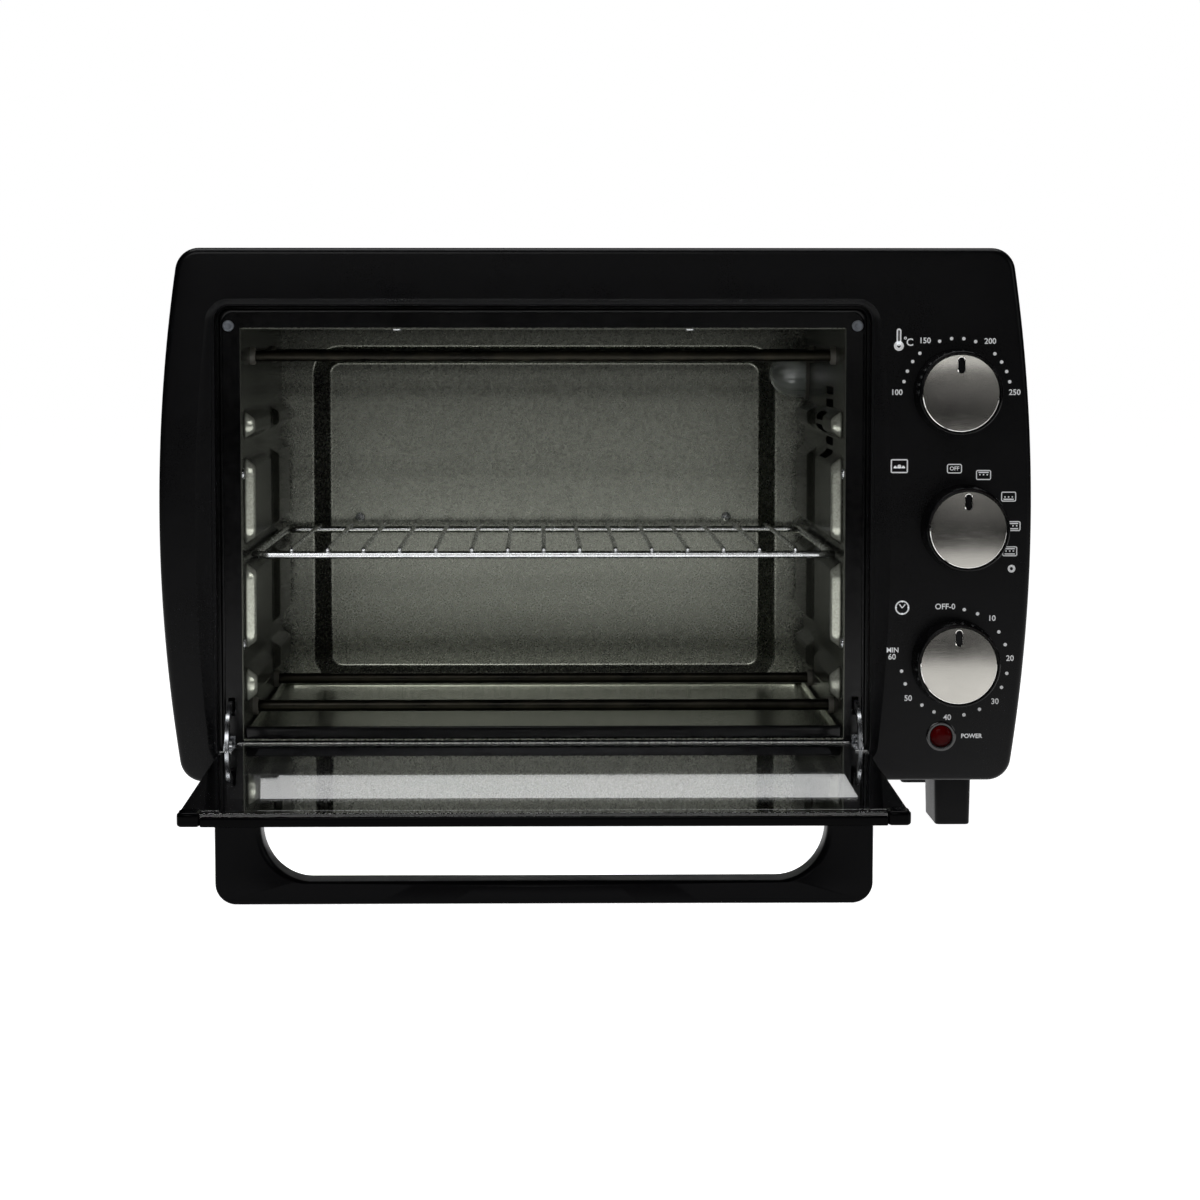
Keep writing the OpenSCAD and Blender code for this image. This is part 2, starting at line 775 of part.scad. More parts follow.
module element_insulators() {
    color("#e6e2d6") in_cavity() both_sides() for (y = element_y) for (z = element_z)
        translate([cavity_w / 2, y, z]) difference() {
            bar_x(-insulator_in, insulator_out, insulator_r);
            bar_x(-insulator_in - over, insulator_out + over, element_r + element_gap);
        }
}

module at_oven_lamp() {
    in_cavity() translate([cavity_w / 2, oven_lamp[0], oven_lamp[1]]) children();
}

module lamp_holder() {
    color("#d8d4c8") at_oven_lamp() difference() {
        union() {
            bar_x(-lamp_flange_t, 0, lamp_rim_r);
            bar_x(0, lamp_cup_d, lamp_hole_r);
        }
        bar_x(-lamp_flange_t - over, lamp_cup_d - lamp_flange_t, lamp_hole_r - lamp_flange_t);
    }
}

// A pear-shaped bulb on its neck, turned about X
module lamp_bulb() {
    neck = lamp_cup_d - lamp_flange_t;
    meet = asin(bulb_neck_r / bulb_r);
    color("#f4efdf") at_oven_lamp() rotate([0, -90, 0]) rotate_extrude()
        polygon(concat([[0, -neck], [bulb_neck_r, -neck]],
                       arc_points(0, bulb_reach, bulb_r, meet - 90, 90, 2 * corner_steps)));
}

// A dome on a cylinder, set in by a margin, with its rim at 0
module dome(margin, rim) {
    r = lamp_glass_r - margin;
    wall = lamp_glass_h - lamp_flange_t - lamp_glass_r;
    rotate([0, -90, 0]) rotate_extrude()
        polygon(concat([[0, -rim], [r, -rim]], arc_points(0, wall, r, 0, 90, 12)));
}

module lamp_glass() {
    color("#dfe8e8", 0.5) at_oven_lamp() translate([-lamp_flange_t, 0, 0]) difference() {
        dome(0, 0);
        dome(lamp_glass_t, over);
    }
}

// ---------- Controls ----------

module at_knob(i) {
    on_oven() translate([knobs[i][0], 0, knobs[i][1]]) children();
}

// The threaded bushing that a shaft turns in, on the front of a control
module bushing() {
    bar_y(frame_y - bushing_front, frame_y + sheet + over, bushing_r);
}

module shaft_bore() {
    bar_y(frame_y - bushing_front - over, frame_y + shaft_end + over, shaft_r + fit_gap);
}

module thermostat() {
    half = 17;
    depth = 30;
    color("#b9a98a") at_knob(0) difference() {
        union() {
            box([-half, frame_y + sheet, -half], [half, frame_y + sheet + depth, half]);
            bushing();
        }
        shaft_bore();
    }
}

module function_switch() {
    r = 18;
    depth = 30;
    color("#d9d3c0") at_knob(1) difference() {
        union() {
            bar_y(frame_y + sheet, frame_y + sheet + depth, r);
            bushing();
        }
        shaft_bore();
    }
}

module timer() {
    half = 22;
    color("#c8c9c6") at_knob(2) difference() {
        union() {
            box([-half, frame_y + sheet, -half], [half, timer_back, half]);
            bushing();
            bar_y(timer_back - over, timer_back + bell_post_l, bell_post_r);
        }
        shaft_bore();
    }
}

module timer_bell() {
    r = 20;
    depth = 8;
    color("#c9a45a") at_knob(2) translate([0, timer_back + bell_post_l, 0]) difference() {
        bar_y(0, depth, r);
        bar_y(-over, depth - bell_wall, r - bell_wall);
    }
}

module shaft(i) {
    color("#9a9da1") at_knob(i) bar_y(-shaft_front - knob_gap, frame_y + shaft_end, shaft_r);
}

// A hollow black knob with a hub for the shaft and a seat for the metal cap
module knob(i) {
    seat = -knob_h - knob_gap + cap_t;
    color("#121315") at_knob(i) difference() {
        union() {
            difference() {
                translate([0, -knob_gap, 0]) rotate([90, 0, 0])
                    cylinder(r1 = knob_d / 2, r2 = knob_d / 2 - knob_draft, h = knob_h);
                bar_y(seat + knob_wall, over, knob_face_d / 2 - knob_wall);
            }
            bar_y(seat + knob_wall - over, -knob_gap, knob_hub_r);
        }
        bar_y(-shaft_front - knob_gap, over, shaft_r + fit_gap);
        bar_y(seat - cap_t - over, seat, knob_face_d / 2 + cap_gap);
    }
}

// The brushed metal disc on a knob's face, with the pointer slot near its upper rim
module cap(i) {
    front = -knob_h - knob_gap - cap_proud;
    pointer_top = knob_face_d / 2 - pointer_inset;
    color("#a7a49e") at_knob(i) difference() {
        bar_y(front, front + cap_proud + cap_t, knob_face_d / 2);
        box([-pointer_w / 2, front - over, pointer_top - pointer_l], [pointer_w / 2, over, pointer_top]);
    }
}

module temperature_knob() {
    knob(0);
}

module temperature_cap() {
    cap(0);
}

module temperature_shaft() {
    shaft(0);
}

module function_knob() {
    knob(1);
}

module function_cap() {
    cap(1);
}

module function_shaft() {
    shaft(1);
}

module timer_knob() {
    knob(2);
}

module timer_cap() {
    cap(2);
}

module timer_shaft() {
    shaft(2);
}

module at_indicator() {
    on_oven() translate([indicator[0], 0, indicator[1]]) children();
}

module indicator_housing() {
    color("#17181a") at_indicator() difference() {
        union() {
            bar_y(-housing_rim_t, 0, housing_rim_r);
            bar_y(0, housing_d, housing_r);
        }
        bar_y(-housing_rim_t - over, housing_d - housing_floor, lens_r);
    }
}

module indicator_lens() {
    color("#7a0f12") at_indicator() difference() {
        bar_y(-lens_proud, lens_d, lens_r);
        bar_y(0, lens_d + over, lens_r - lens_wall);
    }
}

module indicator_bulb() {
    color("#ffb38a") at_indicator() bar_y(neon_front, housing_d - housing_floor, neon_r);
}

// ---------- Feet, cord entry and small fixings ----------

module feet_places() {
    for (side = [-1, 1]) for (y = feet_y) translate([side * foot_x, y, 0]) children();
}

// A pair of feet, each with a hole for its screw
module foot_pair(y) {
    color("#131416") on_oven() for (side = [-1, 1]) translate([side * foot_x, y, 0]) difference() {
        linear_extrude(base_z) polygon(rounded_outline(foot_w, foot_l, foot_corner_r));
        bar_z(base_z - screw_l - over, base_z + over, screw_r + screw_gap);
    }
}

module front_feet() {
    foot_pair(feet_y[0]);
}

module rear_feet() {
    foot_pair(feet_y[1]);
}

module foot_screws() {
    color("#8d8f92") on_oven() feet_places() translate([0, 0, base_z + sheet]) screw(screw_l);
}

module cord_gland() {
    color("#131416") on_oven() translate([gland[0], 0, gland[1]]) difference() {
        union() {
            bar_y(body_d + sheet, body_d + sheet + gland_rim_t, gland_rim_r);
            bar_y(body_d - gland_in, body_d + sheet + gland_out, gland_r);
        }
        bar_y(body_d - gland_in - over, body_d + sheet + gland_out + over, cord_r);
    }
}

module terminal_block() {
    color("#e3dfd2") on_oven() translate([block_x, block_y, base_z + sheet])
        translate([-block_size[0] / 2, -block_size[1] / 2, 0]) cube(block_size);
}

module door_bumpers() {
    r = 3;
    color("#9aa0a6") in_cavity() both_sides()
        translate([stay_x, frame_y - bumper_l, foot_gap + fascia_h - top_margin - bumper_drop])
            bar_y(0, bumper_l, r);
}

// ---------- Hinges, stays and springs ----------

module hinge_bracket() {
    translate([0, hinge_back, hinge_z]) difference() {
        union() {
            box([bracket_x, -bracket_high, bracket_low],
                [bracket_side, frame_y - hinge_back, bracket_high]);
            box([bracket_foot_x, frame_y - hinge_back - bracket_foot_t, bracket_low],
                [bracket_side, frame_y - hinge_back, bracket_high]);
        }
        bar_x(bracket_x - over, bracket_side + over, pin_r + fit_gap);
    }
}

module left_hinge_bracket() {
    color("#6d7074") in_cavity() mirror([1, 0, 0]) hinge_bracket();
}

module right_hinge_bracket() {
    color("#6d7074") in_cavity() hinge_bracket();
}

module hinge_pins() {
    color("#b8bcc2") in_cavity() both_sides() translate([0, hinge_back, hinge_z]) {
        bar_x(pin_in, bracket_side, pin_r);
        bar_x(bracket_side, bracket_side + pin_head_t, pin_head_r);
    }
}

// An arc round the hinge axis, with a lug on the pin and a foot under the glass
module stay_arm() {
    translate([stay_x - stay_t / 2, 0, 0]) difference() {
        union() {
            rotate([90, 0, 90]) rotate([0, 0, stay_from]) rotate_extrude(angle = stay_to - stay_from)
                translate([stay_r, 0]) square([stay_w, stay_t]);
            bar_x(0, stay_t, lug_r);
            box([0, -stay_foot, glass_low - bottom_rail_t], [stay_t, 0, glass_low]);
        }
        bar_x(-over, stay_t + over, pin_r + fit_gap);
    }
}

module left_stay_arm() {
    color("#b8bcc2") on_door() mirror([1, 0, 0]) stay_arm();
}

module right_stay_arm() {
    color("#b8bcc2") on_door() stay_arm();
}

// The coil's outer tube with a straight hook at each end
module door_spring() {
    run = spring_rear - spring_front;
    length = norm(run);
    in_cavity() translate([0, spring_front[0], spring_front[1]]) rotate([atan2(run[1], run[0]), 0, 0]) {
        difference() {
            bar_y(spring_hook, length - spring_hook, spring_r);
            bar_y(spring_hook + spring_wire_r, length - spring_hook - spring_wire_r,
                  spring_r - 2 * spring_wire_r);
        }
        bar_y(0, spring_hook + spring_wire_r / 2, spring_wire_r);
        bar_y(length - spring_hook - spring_wire_r / 2, length + spring_past, spring_wire_r);
    }
}

module left_door_spring() {
    color("#a7abb0") translate([-stay_x, 0, 0]) door_spring();
}

module right_door_spring() {
    color("#a7abb0") translate([stay_x, 0, 0]) door_spring();
}

// ---------- Crumb tray and rack ----------

module crumb_tray() {
    color("#b4b7b0") in_cavity() difference() {
        box([-tray_half, tray_y[0], tray_z], [tray_half, tray_y[1], tray_z + tray_rim_h]);
        box([-tray_half + sheet, tray_y[0] + sheet, tray_z + sheet],
            [tray_half - sheet, tray_y[1] - sheet, tray_z + tray_rim_h + over]);
    }
}

module crumb_tray_front() {
    color("#131416") in_cavity()
        box([-tray_half, tray_y[0] - tray_front_t, tray_z],
            [tray_half, tray_y[0], tray_z + tray_front_h]);
}

module wire_rack() {
    side_x = rack_half - rack_wire_r;
    rung_z = rack_z + rack_bar_r + rung_r - rack_weld;
    color("#d4d7da") in_cavity() {
        for (x = [-side_x, side_x]) translate([x, 0, rack_z]) bar_y(rack_y[0], rack_y[1], rack_wire_r);
        for (y = rack_y) translate([0, y, rack_z]) bar_x(-side_x, side_x, rack_bar_r);
        for (i = [-rung_half_count:rung_half_count]) translate([i * rung_pitch, 0, rung_z])
            bar_y(rack_y[0] - rack_bar_r, rack_y[1] + rack_bar_r, rung_r);
    }
}

// ---------- Door ----------

module door_glass() {
    color("#26292b", 0.6) on_door() difference() {
        box([-glass_half, -glass_reach, glass_low], [glass_half, glass_past, glass_inner]);
        both_sides() box([notch_x, -notch_y, glass_low - over],
                         [glass_half + over, glass_past + over, glass_inner + over]);
    }
}

// The rail along the free edge: a flange under the glass and a lip in front of its edge
module door_top_rail() {
    half = door_half - cap_w;
    color("#101113") on_door() {
        box([-half, -door_reach, glass_low - rail_flange_t], [half, -door_reach + rail_d, glass_low]);
        box([-half, -door_reach, glass_low - rail_flange_t], [half, -glass_reach, rail_lip_top]);
    }
}

module rail_end_caps() {
    color("#101113") on_door() both_sides() difference() {
        box([door_half - cap_w, -door_reach, glass_low - rail_flange_t],
            [door_half, -door_reach + rail_d, glass_inner + cap_wall]);
        box([door_half - cap_w - over, -glass_reach, glass_low], [glass_half, 0, glass_inner]);
    }
}

module door_bottom_rail() {
    half = stay_x - stay_t / 2;
    color("#6d7074") on_door()
        box([-half, -bottom_rail_y - bottom_rail_d, glass_low - bottom_rail_t],
            [half, -bottom_rail_y, glass_low]);
}

// The handle's outline seen along the door: a bar between two legs, with swept inner corners
module handle_outline() {
    gap_half = handle_half - handle_leg;
    gap_low = handle_low + handle_bar;
    sweep_h = handle_top - gap_low;
    corner_x = handle_half - handle_r;
    corner_z = handle_low + handle_r;
    difference() {
        polygon(concat([[handle_half, handle_top], [-handle_half, handle_top]],
                       arc_points(-corner_x, corner_z, handle_r, 180, 270, corner_steps),
                       arc_points(corner_x, corner_z, handle_r, 270, 360, corner_steps)));
        polygon(concat([[gap_half, handle_top + over], [-gap_half, handle_top + over]],
                       [for (i = [0:corner_steps]) let (a = 90 * i / corner_steps)
                           [-gap_half + handle_sweep * (1 - cos(a)), handle_top - sweep_h * sin(a)]],
                       [for (i = [corner_steps:-1:0]) let (a = 90 * i / corner_steps)
                           [gap_half - handle_sweep * (1 - cos(a)), handle_top - sweep_h * sin(a)]]));
    }
}

// A handle screw's place, with +Z from the screw's seat towards its head
module handle_screw_places() {
    both_sides()
        translate([handle_half - handle_leg / 2, handle_y + handle_d / 2, handle_low + handle_screw_seat])
            mirror([0, 0, 1]) children();
}

module door_handle() {
    color("#121315") on_door() difference() {
        drawn_y(handle_y, handle_y + handle_d) handle_outline();
        handle_screw_places() {
            bar_z(handle_low - handle_top, over, handle_screw_r + screw_gap);
            bar_z(0, handle_screw_seat + over, handle_screw_head_r + screw_gap);
        }
    }
}

module handle_screws() {
    head_t = 2;
    color("#8d8f92") on_door() handle_screw_places() {
        bar_z(handle_low + handle_screw_seat - handle_top, 0, handle_screw_r);
        bar_z(0, head_t, handle_screw_head_r);
    }
}

// ---------- Nodes ----------

front_bezel();
front_frame();
outer_cover();
rear_panel();
base_plate();
cavity_left_wall();
cavity_right_wall();
cavity_ceiling();
cavity_floor();
cavity_back_wall();
upper_front_element();
upper_rear_element();
lower_front_element();
lower_rear_element();
element_insulators();
lamp_holder();
lamp_bulb();
lamp_glass();
thermostat();
function_switch();
timer();
timer_bell();
indicator_housing();
indicator_lens();
indicator_bulb();
front_feet();
rear_feet();
foot_screws();
cord_gland();
terminal_block();
cavity_screws();
panel_screws();
door_bumpers();
left_hinge_bracket();
right_hinge_bracket();
hinge_pins();
left_door_spring();
right_door_spring();
crumb_tray();
crumb_tray_front();
wire_rack();
door_glass();
door_top_rail();
rail_end_caps();
door_bottom_rail();
door_handle();
handle_screws();
left_stay_arm();
right_stay_arm();
temperature_knob();
temperature_cap();
temperature_shaft();
function_knob();
function_cap();
function_shaft();
timer_knob();
timer_cap();
timer_shaft();
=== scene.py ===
"""Toaster oven: the finished look of each part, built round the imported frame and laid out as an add-on."""

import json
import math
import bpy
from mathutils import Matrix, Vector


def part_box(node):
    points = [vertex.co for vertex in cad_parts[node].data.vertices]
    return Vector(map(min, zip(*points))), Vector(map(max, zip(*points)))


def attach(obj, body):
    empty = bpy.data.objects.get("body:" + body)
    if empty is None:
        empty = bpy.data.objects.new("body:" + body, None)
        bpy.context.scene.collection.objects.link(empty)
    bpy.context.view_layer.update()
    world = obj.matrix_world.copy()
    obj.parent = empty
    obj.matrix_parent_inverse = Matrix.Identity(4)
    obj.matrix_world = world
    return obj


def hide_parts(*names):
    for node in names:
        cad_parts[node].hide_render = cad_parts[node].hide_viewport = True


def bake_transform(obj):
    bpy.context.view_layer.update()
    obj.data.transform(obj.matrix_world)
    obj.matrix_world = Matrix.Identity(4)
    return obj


bl_info = {
    "name": "Toaster Oven Finish",
    "version": (1, 0, 0),
    "blender": (4, 5, 0),
    "location": "3D View > Sidebar > Oven",
    "description": "Builds the visible parts of a toaster oven round its packed frame",
    "category": "Object",
}

import bmesh
import bpy
import numpy as np
from mathutils import Vector
from mathutils.geometry import tessellate_polygon

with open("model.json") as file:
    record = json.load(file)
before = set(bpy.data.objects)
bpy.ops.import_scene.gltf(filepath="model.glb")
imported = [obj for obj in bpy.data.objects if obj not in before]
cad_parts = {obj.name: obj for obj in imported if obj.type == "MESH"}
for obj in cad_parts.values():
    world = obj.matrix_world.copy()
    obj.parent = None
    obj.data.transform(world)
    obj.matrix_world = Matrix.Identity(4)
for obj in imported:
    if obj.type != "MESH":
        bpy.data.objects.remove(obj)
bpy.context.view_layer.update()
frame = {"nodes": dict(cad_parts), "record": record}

# ---------- Sizes in millimetres ----------


def span(node):
    """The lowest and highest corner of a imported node, in millimetres."""
    low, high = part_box(node)
    return np.array(low) * 1000, np.array(high) * 1000


FRONT = span("front_bezel")[0][1]
WIDTH = span("front_bezel")[1][0] * 2
BASE = span("front_bezel")[0][2]
TOP = span("front_bezel")[1][2]
MID_Z = (BASE + TOP) / 2
DOOR_X = (span("wire_rack")[0][0] + span("wire_rack")[1][0]) / 2
SIDE_BOW, CORNER_R, FASCIA_D, FASCIA_WALL = 11.7, 13.0, 28.0, 2.5
RECESS_W, RECESS_H, RECESS_D, RECESS_R = WIDTH - 118.0, TOP - BASE - 42.5, 12.0, 8.0
RECESS_LOW = BASE + 11.5
RECESS_Z = RECESS_LOW + RECESS_H / 2
SHEET = 0.6
SHARP = 32
CAVITY_LOW = span("cavity_floor")[1][2]
CAVITY_HIGH = span("cavity_ceiling")[0][2]
CAVITY_HALF = RECESS_W / 2 - 13 - SHEET
CAVITY_BACK = span("cavity_floor")[1][1] - FRONT
HINGE = np.array([DOOR_X, FRONT + 4.9, RECESS_LOW + 6.5])
DROOP = math.radians(1.1)
DOOR_HALF, DOOR_REACH = RECESS_W / 2 - 3, RECESS_H - 10.5
GLASS_LOW, GLASS_HIGH = -1.4, 2.6
STAY_X = DOOR_HALF - 4
ELEMENT_Y, ELEMENT_Z = (RECESS_D + 60, CAVITY_BACK - 76), (CAVITY_LOW + 12, CAVITY_HIGH - 15)
LAMP_Y, LAMP_Z = CAVITY_BACK - 30, CAVITY_HIGH - 27
BACK_SCREW_X, BACK_SCREW_Z = CAVITY_HALF - 14 - 12 - 22.4, (CAVITY_LOW + CAVITY_HIGH) / 2 - 6.2
PRESS_DEPTH, PAD_RISE = 8.0, 6.0
VENT_TOP, VENT_STEP, VENT_COUNT = 242.4, 7.2, 6
VENT_START, VENT_END, VENT_HALF = 85, 132, 2.3
KNOBS = [(part, (span(part + "_knob")[0] + span(part + "_knob")[1])[[0, 2]] / 2)
         for part in ("temperature", "function", "timer")]

# ---------- Mesh helpers ----------


def segment(p, q, n):
    """Points on a straight line from p towards q, without q: p plus k/n of the way."""
    return np.array(p) + (np.array(q) - np.array(p)) * (np.arange(n) / n)[:, None]


def arc(x, z, r, start, end, n):
    """Points on a circle's arc, without its last: the middle plus r times the cosine and sine of an even angle."""
    a = start + (end - start) * np.arange(n) / n
    return np.stack([x + r * np.cos(a), z + r * np.sin(a)], -1)


def bowed_loop(margin, side=36, corner=8, flat=36):
    """The fascia's outline set in by a margin: two large arcs for the sides, joined by corner arcs and flat ends."""
    half, bow = (TOP - BASE) / 2, SIDE_BOW
    big = (half * half + bow * bow) / (2 * bow)
    middle = WIDTH / 2 - big
    r, h, big_r = max(CORNER_R - margin, 0.2), half - margin, big - margin
    tip = math.asin((h - r) / (big_r - r))
    cx, cz = middle + (big_r - r) * math.cos(tip), h - r
    quarter = math.pi / 2
    loop = [arc(middle, 0, big_r, -tip, tip, side), arc(cx, cz, r, tip, quarter, corner),
            segment((cx, h), (-cx, h), flat), arc(-cx, cz, r, quarter, math.pi - tip, corner),
            arc(-middle, 0, big_r, math.pi - tip, math.pi + tip, side),
            arc(-cx, -cz, r, math.pi + tip, 3 * quarter, corner), segment((-cx, -h), (cx, -h), flat),
            arc(cx, -cz, r, 3 * quarter, 4 * quarter - tip, corner)]
    return np.concatenate(loop) + [0, MID_Z]


def rounded_loop(w, h, r, side=36, corner=8, flat=36, middle=(0, 0)):
    """A rounded rectangle, from its lower right side round to the left: four lines joined by quarter arcs."""
    x, z, quarter = w / 2 - r, h / 2 - r, math.pi / 2
    loop = [segment((w / 2, -z), (w / 2, z), side), arc(x, z, r, 0, quarter, corner),
            segment((x, h / 2), (-x, h / 2), flat), arc(-x, z, r, quarter, 2 * quarter, corner),
            segment((-w / 2, z), (-w / 2, -z), side), arc(-x, -z, r, 2 * quarter, 3 * quarter, corner),
            segment((-x, -h / 2), (x, -h / 2), flat), arc(x, -z, r, 3 * quarter, 4 * quarter, corner)]
    return np.concatenate(loop) + np.array(middle)


def net(points, rows=False, cols=True):
    """Quads over a grid of points: each joins four neighbours, and rows or columns may close on themselves."""
    points = np.asarray(points, float)
    n, m = points.shape[:2]
    i = np.arange(n if rows else n - 1)[:, None]
    j = np.arange(m if cols else m - 1)[None, :]
    a, b = i * m + j, i * m + (j + 1) % m
    c, d = (i + 1) % n * m + (j + 1) % m, (i + 1) % n * m + j
    return points.reshape(-1, 3), np.stack([a, b, c, d], -1).reshape(-1, 4).tolist()


def closed(points):
    """A tube of rings with both ends shut by a fan to the middle of the end ring."""
    points = np.asarray(points, float)
    ends = [points[0].mean(0), points[-1].mean(0)]
    rings = np.concatenate([np.broadcast_to(ends[0], points[:1].shape), points,
                            np.broadcast_to(ends[1], points[:1].shape)])
    return net(rings)


def prism(outline, holes, low, high):
    """A flat plate between two heights: its outline and holes are filled with triangles and joined by walls."""
    loops = [np.asarray(l, float) for l in [outline] + list(holes)]
    flat = np.concatenate(loops)
    n = len(flat)
    faces = [list(t) for t in tessellate_polygon([[Vector((x, y, 0)) for x, y in l] for l in loops])]
    up = np.column_stack([flat, np.full(n, high)])
    down = np.column_stack([flat, np.full(n, low)])
    walls, start = [], 0
    for l in loops:
        k = np.arange(len(l))
        a, b = start + k, start + (k + 1) % len(l)
        walls += np.stack([a, b, b + n, a + n], -1).tolist()
        start += len(l)
    return np.concatenate([up, down]), faces + [[i + n for i in f[::-1]] for f in faces] + walls


def ring_about(axis, place, profile, steps=64):
    """A profile of (radius, height) turned about an axis: radius times cosine and sine, and height along it."""
    profile = np.asarray(profile, float)
    a = np.arange(steps) * 2 * math.pi / steps
    u, v = profile[:, :1] * np.cos(a), profile[:, :1] * np.sin(a)
    h = np.broadcast_to(profile[:, 1:], u.shape)
    order = {"x": (h, u, v), "y": (v, h, u), "z": (u, v, h)}[axis]
    return np.stack(order, -1) + np.asarray(place, float)


def turned(axis, place, profile, steps=64):
    """A turned piece whose profile starts and ends on the axis or is shut by a fan."""
    return closed(ring_about(axis, place, profile, steps))


def hollow(axis, place, profile, steps=64):
    """A turned piece whose profile is a closed loop, such as a ring or a cup."""
    return net(ring_about(axis, place, profile, steps), rows=True)


def tube(path, r, steps=16, close=False):
    """A round wire on a path: at each point a circle of radius r square to the path's direction."""
    path = np.asarray(path, float)
    ahead = np.roll(path, -1, 0) - np.roll(path, 1, 0)
    if not close:
        ahead[0], ahead[-1] = path[1] - path[0], path[-1] - path[-2]
    ahead /= np.linalg.norm(ahead, axis=1)[:, None]
    flat = np.abs(ahead).max(0).argmin()
    guide = np.eye(3)[flat]
    u = np.cross(ahead, guide)
    u /= np.linalg.norm(u, axis=1)[:, None]
    v = np.cross(ahead, u)
    a = np.arange(steps) * 2 * math.pi / steps
    r = np.broadcast_to(np.asarray(r, float), len(path))[:, None, None]
    rings = path[:, None] + r * (np.cos(a)[None, :, None] * u[:, None] + np.sin(a)[None, :, None] * v[:, None])
    return net(rings, rows=True) if close else closed(rings)


def on_door(points):
    """Door sizes to the open door: turned by the droop about the hinge, and moved to it."""
    p = np.asarray(points, float)
    c, s = math.cos(DROOP), math.sin(DROOP)
    return np.stack([p[..., 0], p[..., 1] * c - p[..., 2] * s, p[..., 1] * s + p[..., 2] * c], -1) + HINGE


def in_oven(points):
    """Oven sizes, x from the fascia's middle and y from its front, to their place."""
    return np.asarray(points, float) + [0, FRONT, 0]


def in_cavity(points):
    """Cavity sizes, x from the middle of the door and y from the fascia's front, to their place."""
    return np.asarray(points, float) + [DOOR_X, FRONT, 0]


def moved(part, place):
    """A part whose points have been put through a placing function."""
    return place(part[0]), part[1]


def mesh_of(name, parts, sharp=SHARP, recalc=True):
    """One mesh from several parts, its doubles merged, its faces outward and its sharp edges marked."""
    verts, faces, start = [], [], 0
    for v, f in parts:
        verts.append(v)
        faces += [[i + start for i in face] for face in f]
        start += len(v)
    mesh = bpy.data.meshes.new(name)
    mesh.from_pydata((np.concatenate(verts) * 0.001).tolist(), [], faces)
    bm = bmesh.new()
    bm.from_mesh(mesh)
    bmesh.ops.remove_doubles(bm, verts=bm.verts, dist=2e-6)
    bmesh.ops.dissolve_degenerate(bm, edges=bm.edges, dist=1e-7)
    if recalc:
        bmesh.ops.recalc_face_normals(bm, faces=bm.faces)
    bm.to_mesh(mesh)
    bm.free()
    smooth_mesh(mesh, sharp)
    return mesh


def smooth_mesh(mesh, sharp):
    """Smooth faces with a sharp edge wherever two of them meet at more than an angle in degrees."""
    mesh.polygons.foreach_set("use_smooth", np.ones(len(mesh.polygons), bool))
    mesh.set_sharp_from_angle(angle=math.radians(sharp))
    mesh.update()


def soften(piece, width, segments):
    """A live bevel on the sharp edges, with the flat faces kept flat."""
    bevel = piece.modifiers.new("Soft edges", "BEVEL")
    bevel.width, bevel.segments = width * 0.001, segments
    bevel.limit_method, bevel.angle_limit = "ANGLE", math.radians(SHARP)
    bevel.harden_normals = True
    bevel.use_clamp_overlap = True
    return piece


def placed(name, mesh):
    """A new object with this mesh, linked to the scene."""
    piece = bpy.data.objects.new(name, mesh)
    bpy.context.scene.collection.objects.link(piece)
    return piece


NODE_BODY = {n: b for b, ns in frame["record"]["behaviour"]["bodies"].items() for n in ns}
NODE_SLOT = {p["node"]: p["material_slot"] for p in frame["record"]["subparts"]}
finishes = {}


def fit(piece, *nodes, finish=None, hide=True):
    """Rides a piece on its node's body, takes its slot and finish, and stands for the nodes."""
    piece.data.materials.append(finishes[finish or NODE_SLOT[nodes[0]]])
    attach(piece, NODE_BODY[nodes[0]])
    if hide:
        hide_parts(*nodes)
    return piece


def new_piece(name, parts, *nodes, sharp=SHARP, finish=None, hide=True, recalc=True):
    """A piece from its parts, in place and dressed."""
    return fit(placed(name, mesh_of(name, parts, sharp, recalc)), *nodes, finish=finish, hide=hide)


def softened_node(node, width=0.25, segments=2, finish=None):
    """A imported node's own shape with its doubles merged, its flat faces joined and its edges softened."""
    bm = bmesh.new()
    bm.from_mesh(frame["nodes"][node].data)
    bmesh.ops.remove_doubles(bm, verts=bm.verts, dist=1e-6)
    bmesh.ops.dissolve_limit(bm, angle_limit=math.radians(0.2), verts=bm.verts, edges=bm.edges)
    mesh = bpy.data.meshes.new(node + "_soft")
    bm.to_mesh(mesh)
    bm.free()
    smooth_mesh(mesh, SHARP)
    return soften(fit(placed(node + "_soft", mesh), node, finish=finish), width, segments)


# ---------- Finishes ----------


def add_node(tree, kind, inputs=None, **settings):
    """A shader node with its settings and inputs; an input is a value or another node's socket."""
    made = tree.nodes.new("ShaderNode" + kind)
    for key, value in settings.items():
        setattr(made, key, value)
    for key, value in (inputs or {}).items():
        if isinstance(value, bpy.types.NodeSocket):
            tree.links.new(value, made.inputs[key])
        else:
            made.inputs[key].default_value = value
    return made


def new_finish(name, shader):
    """An empty material with its principled shader; returns the tree, the shader and object coordinates."""
    material = bpy.data.materials.new(name)
    material.use_nodes = True
    tree = material.node_tree
    tree.nodes.clear()
    body = add_node(tree, "BsdfPrincipled", shader)
    add_node(tree, "OutputMaterial", {"Surface": body.outputs[0]})
    place = add_node(tree, "TexCoord").outputs["Object"]
    finishes[name] = material
    return tree, body, place


def grain(tree, place, scale, stretch=(1, 1, 1), detail=4, rough=0.6):
    """Noise on object coordinates, stretched along an axis for a brushed or drawn surface."""
    at = add_node(tree, "Mapping", {"Vector": place, "Scale": stretch}).outputs[0]
    noise = add_node(tree, "TexNoise", {"Vector": at, "Scale": scale, "Detail": detail, "Roughness": rough})
    return noise.outputs["Fac"]


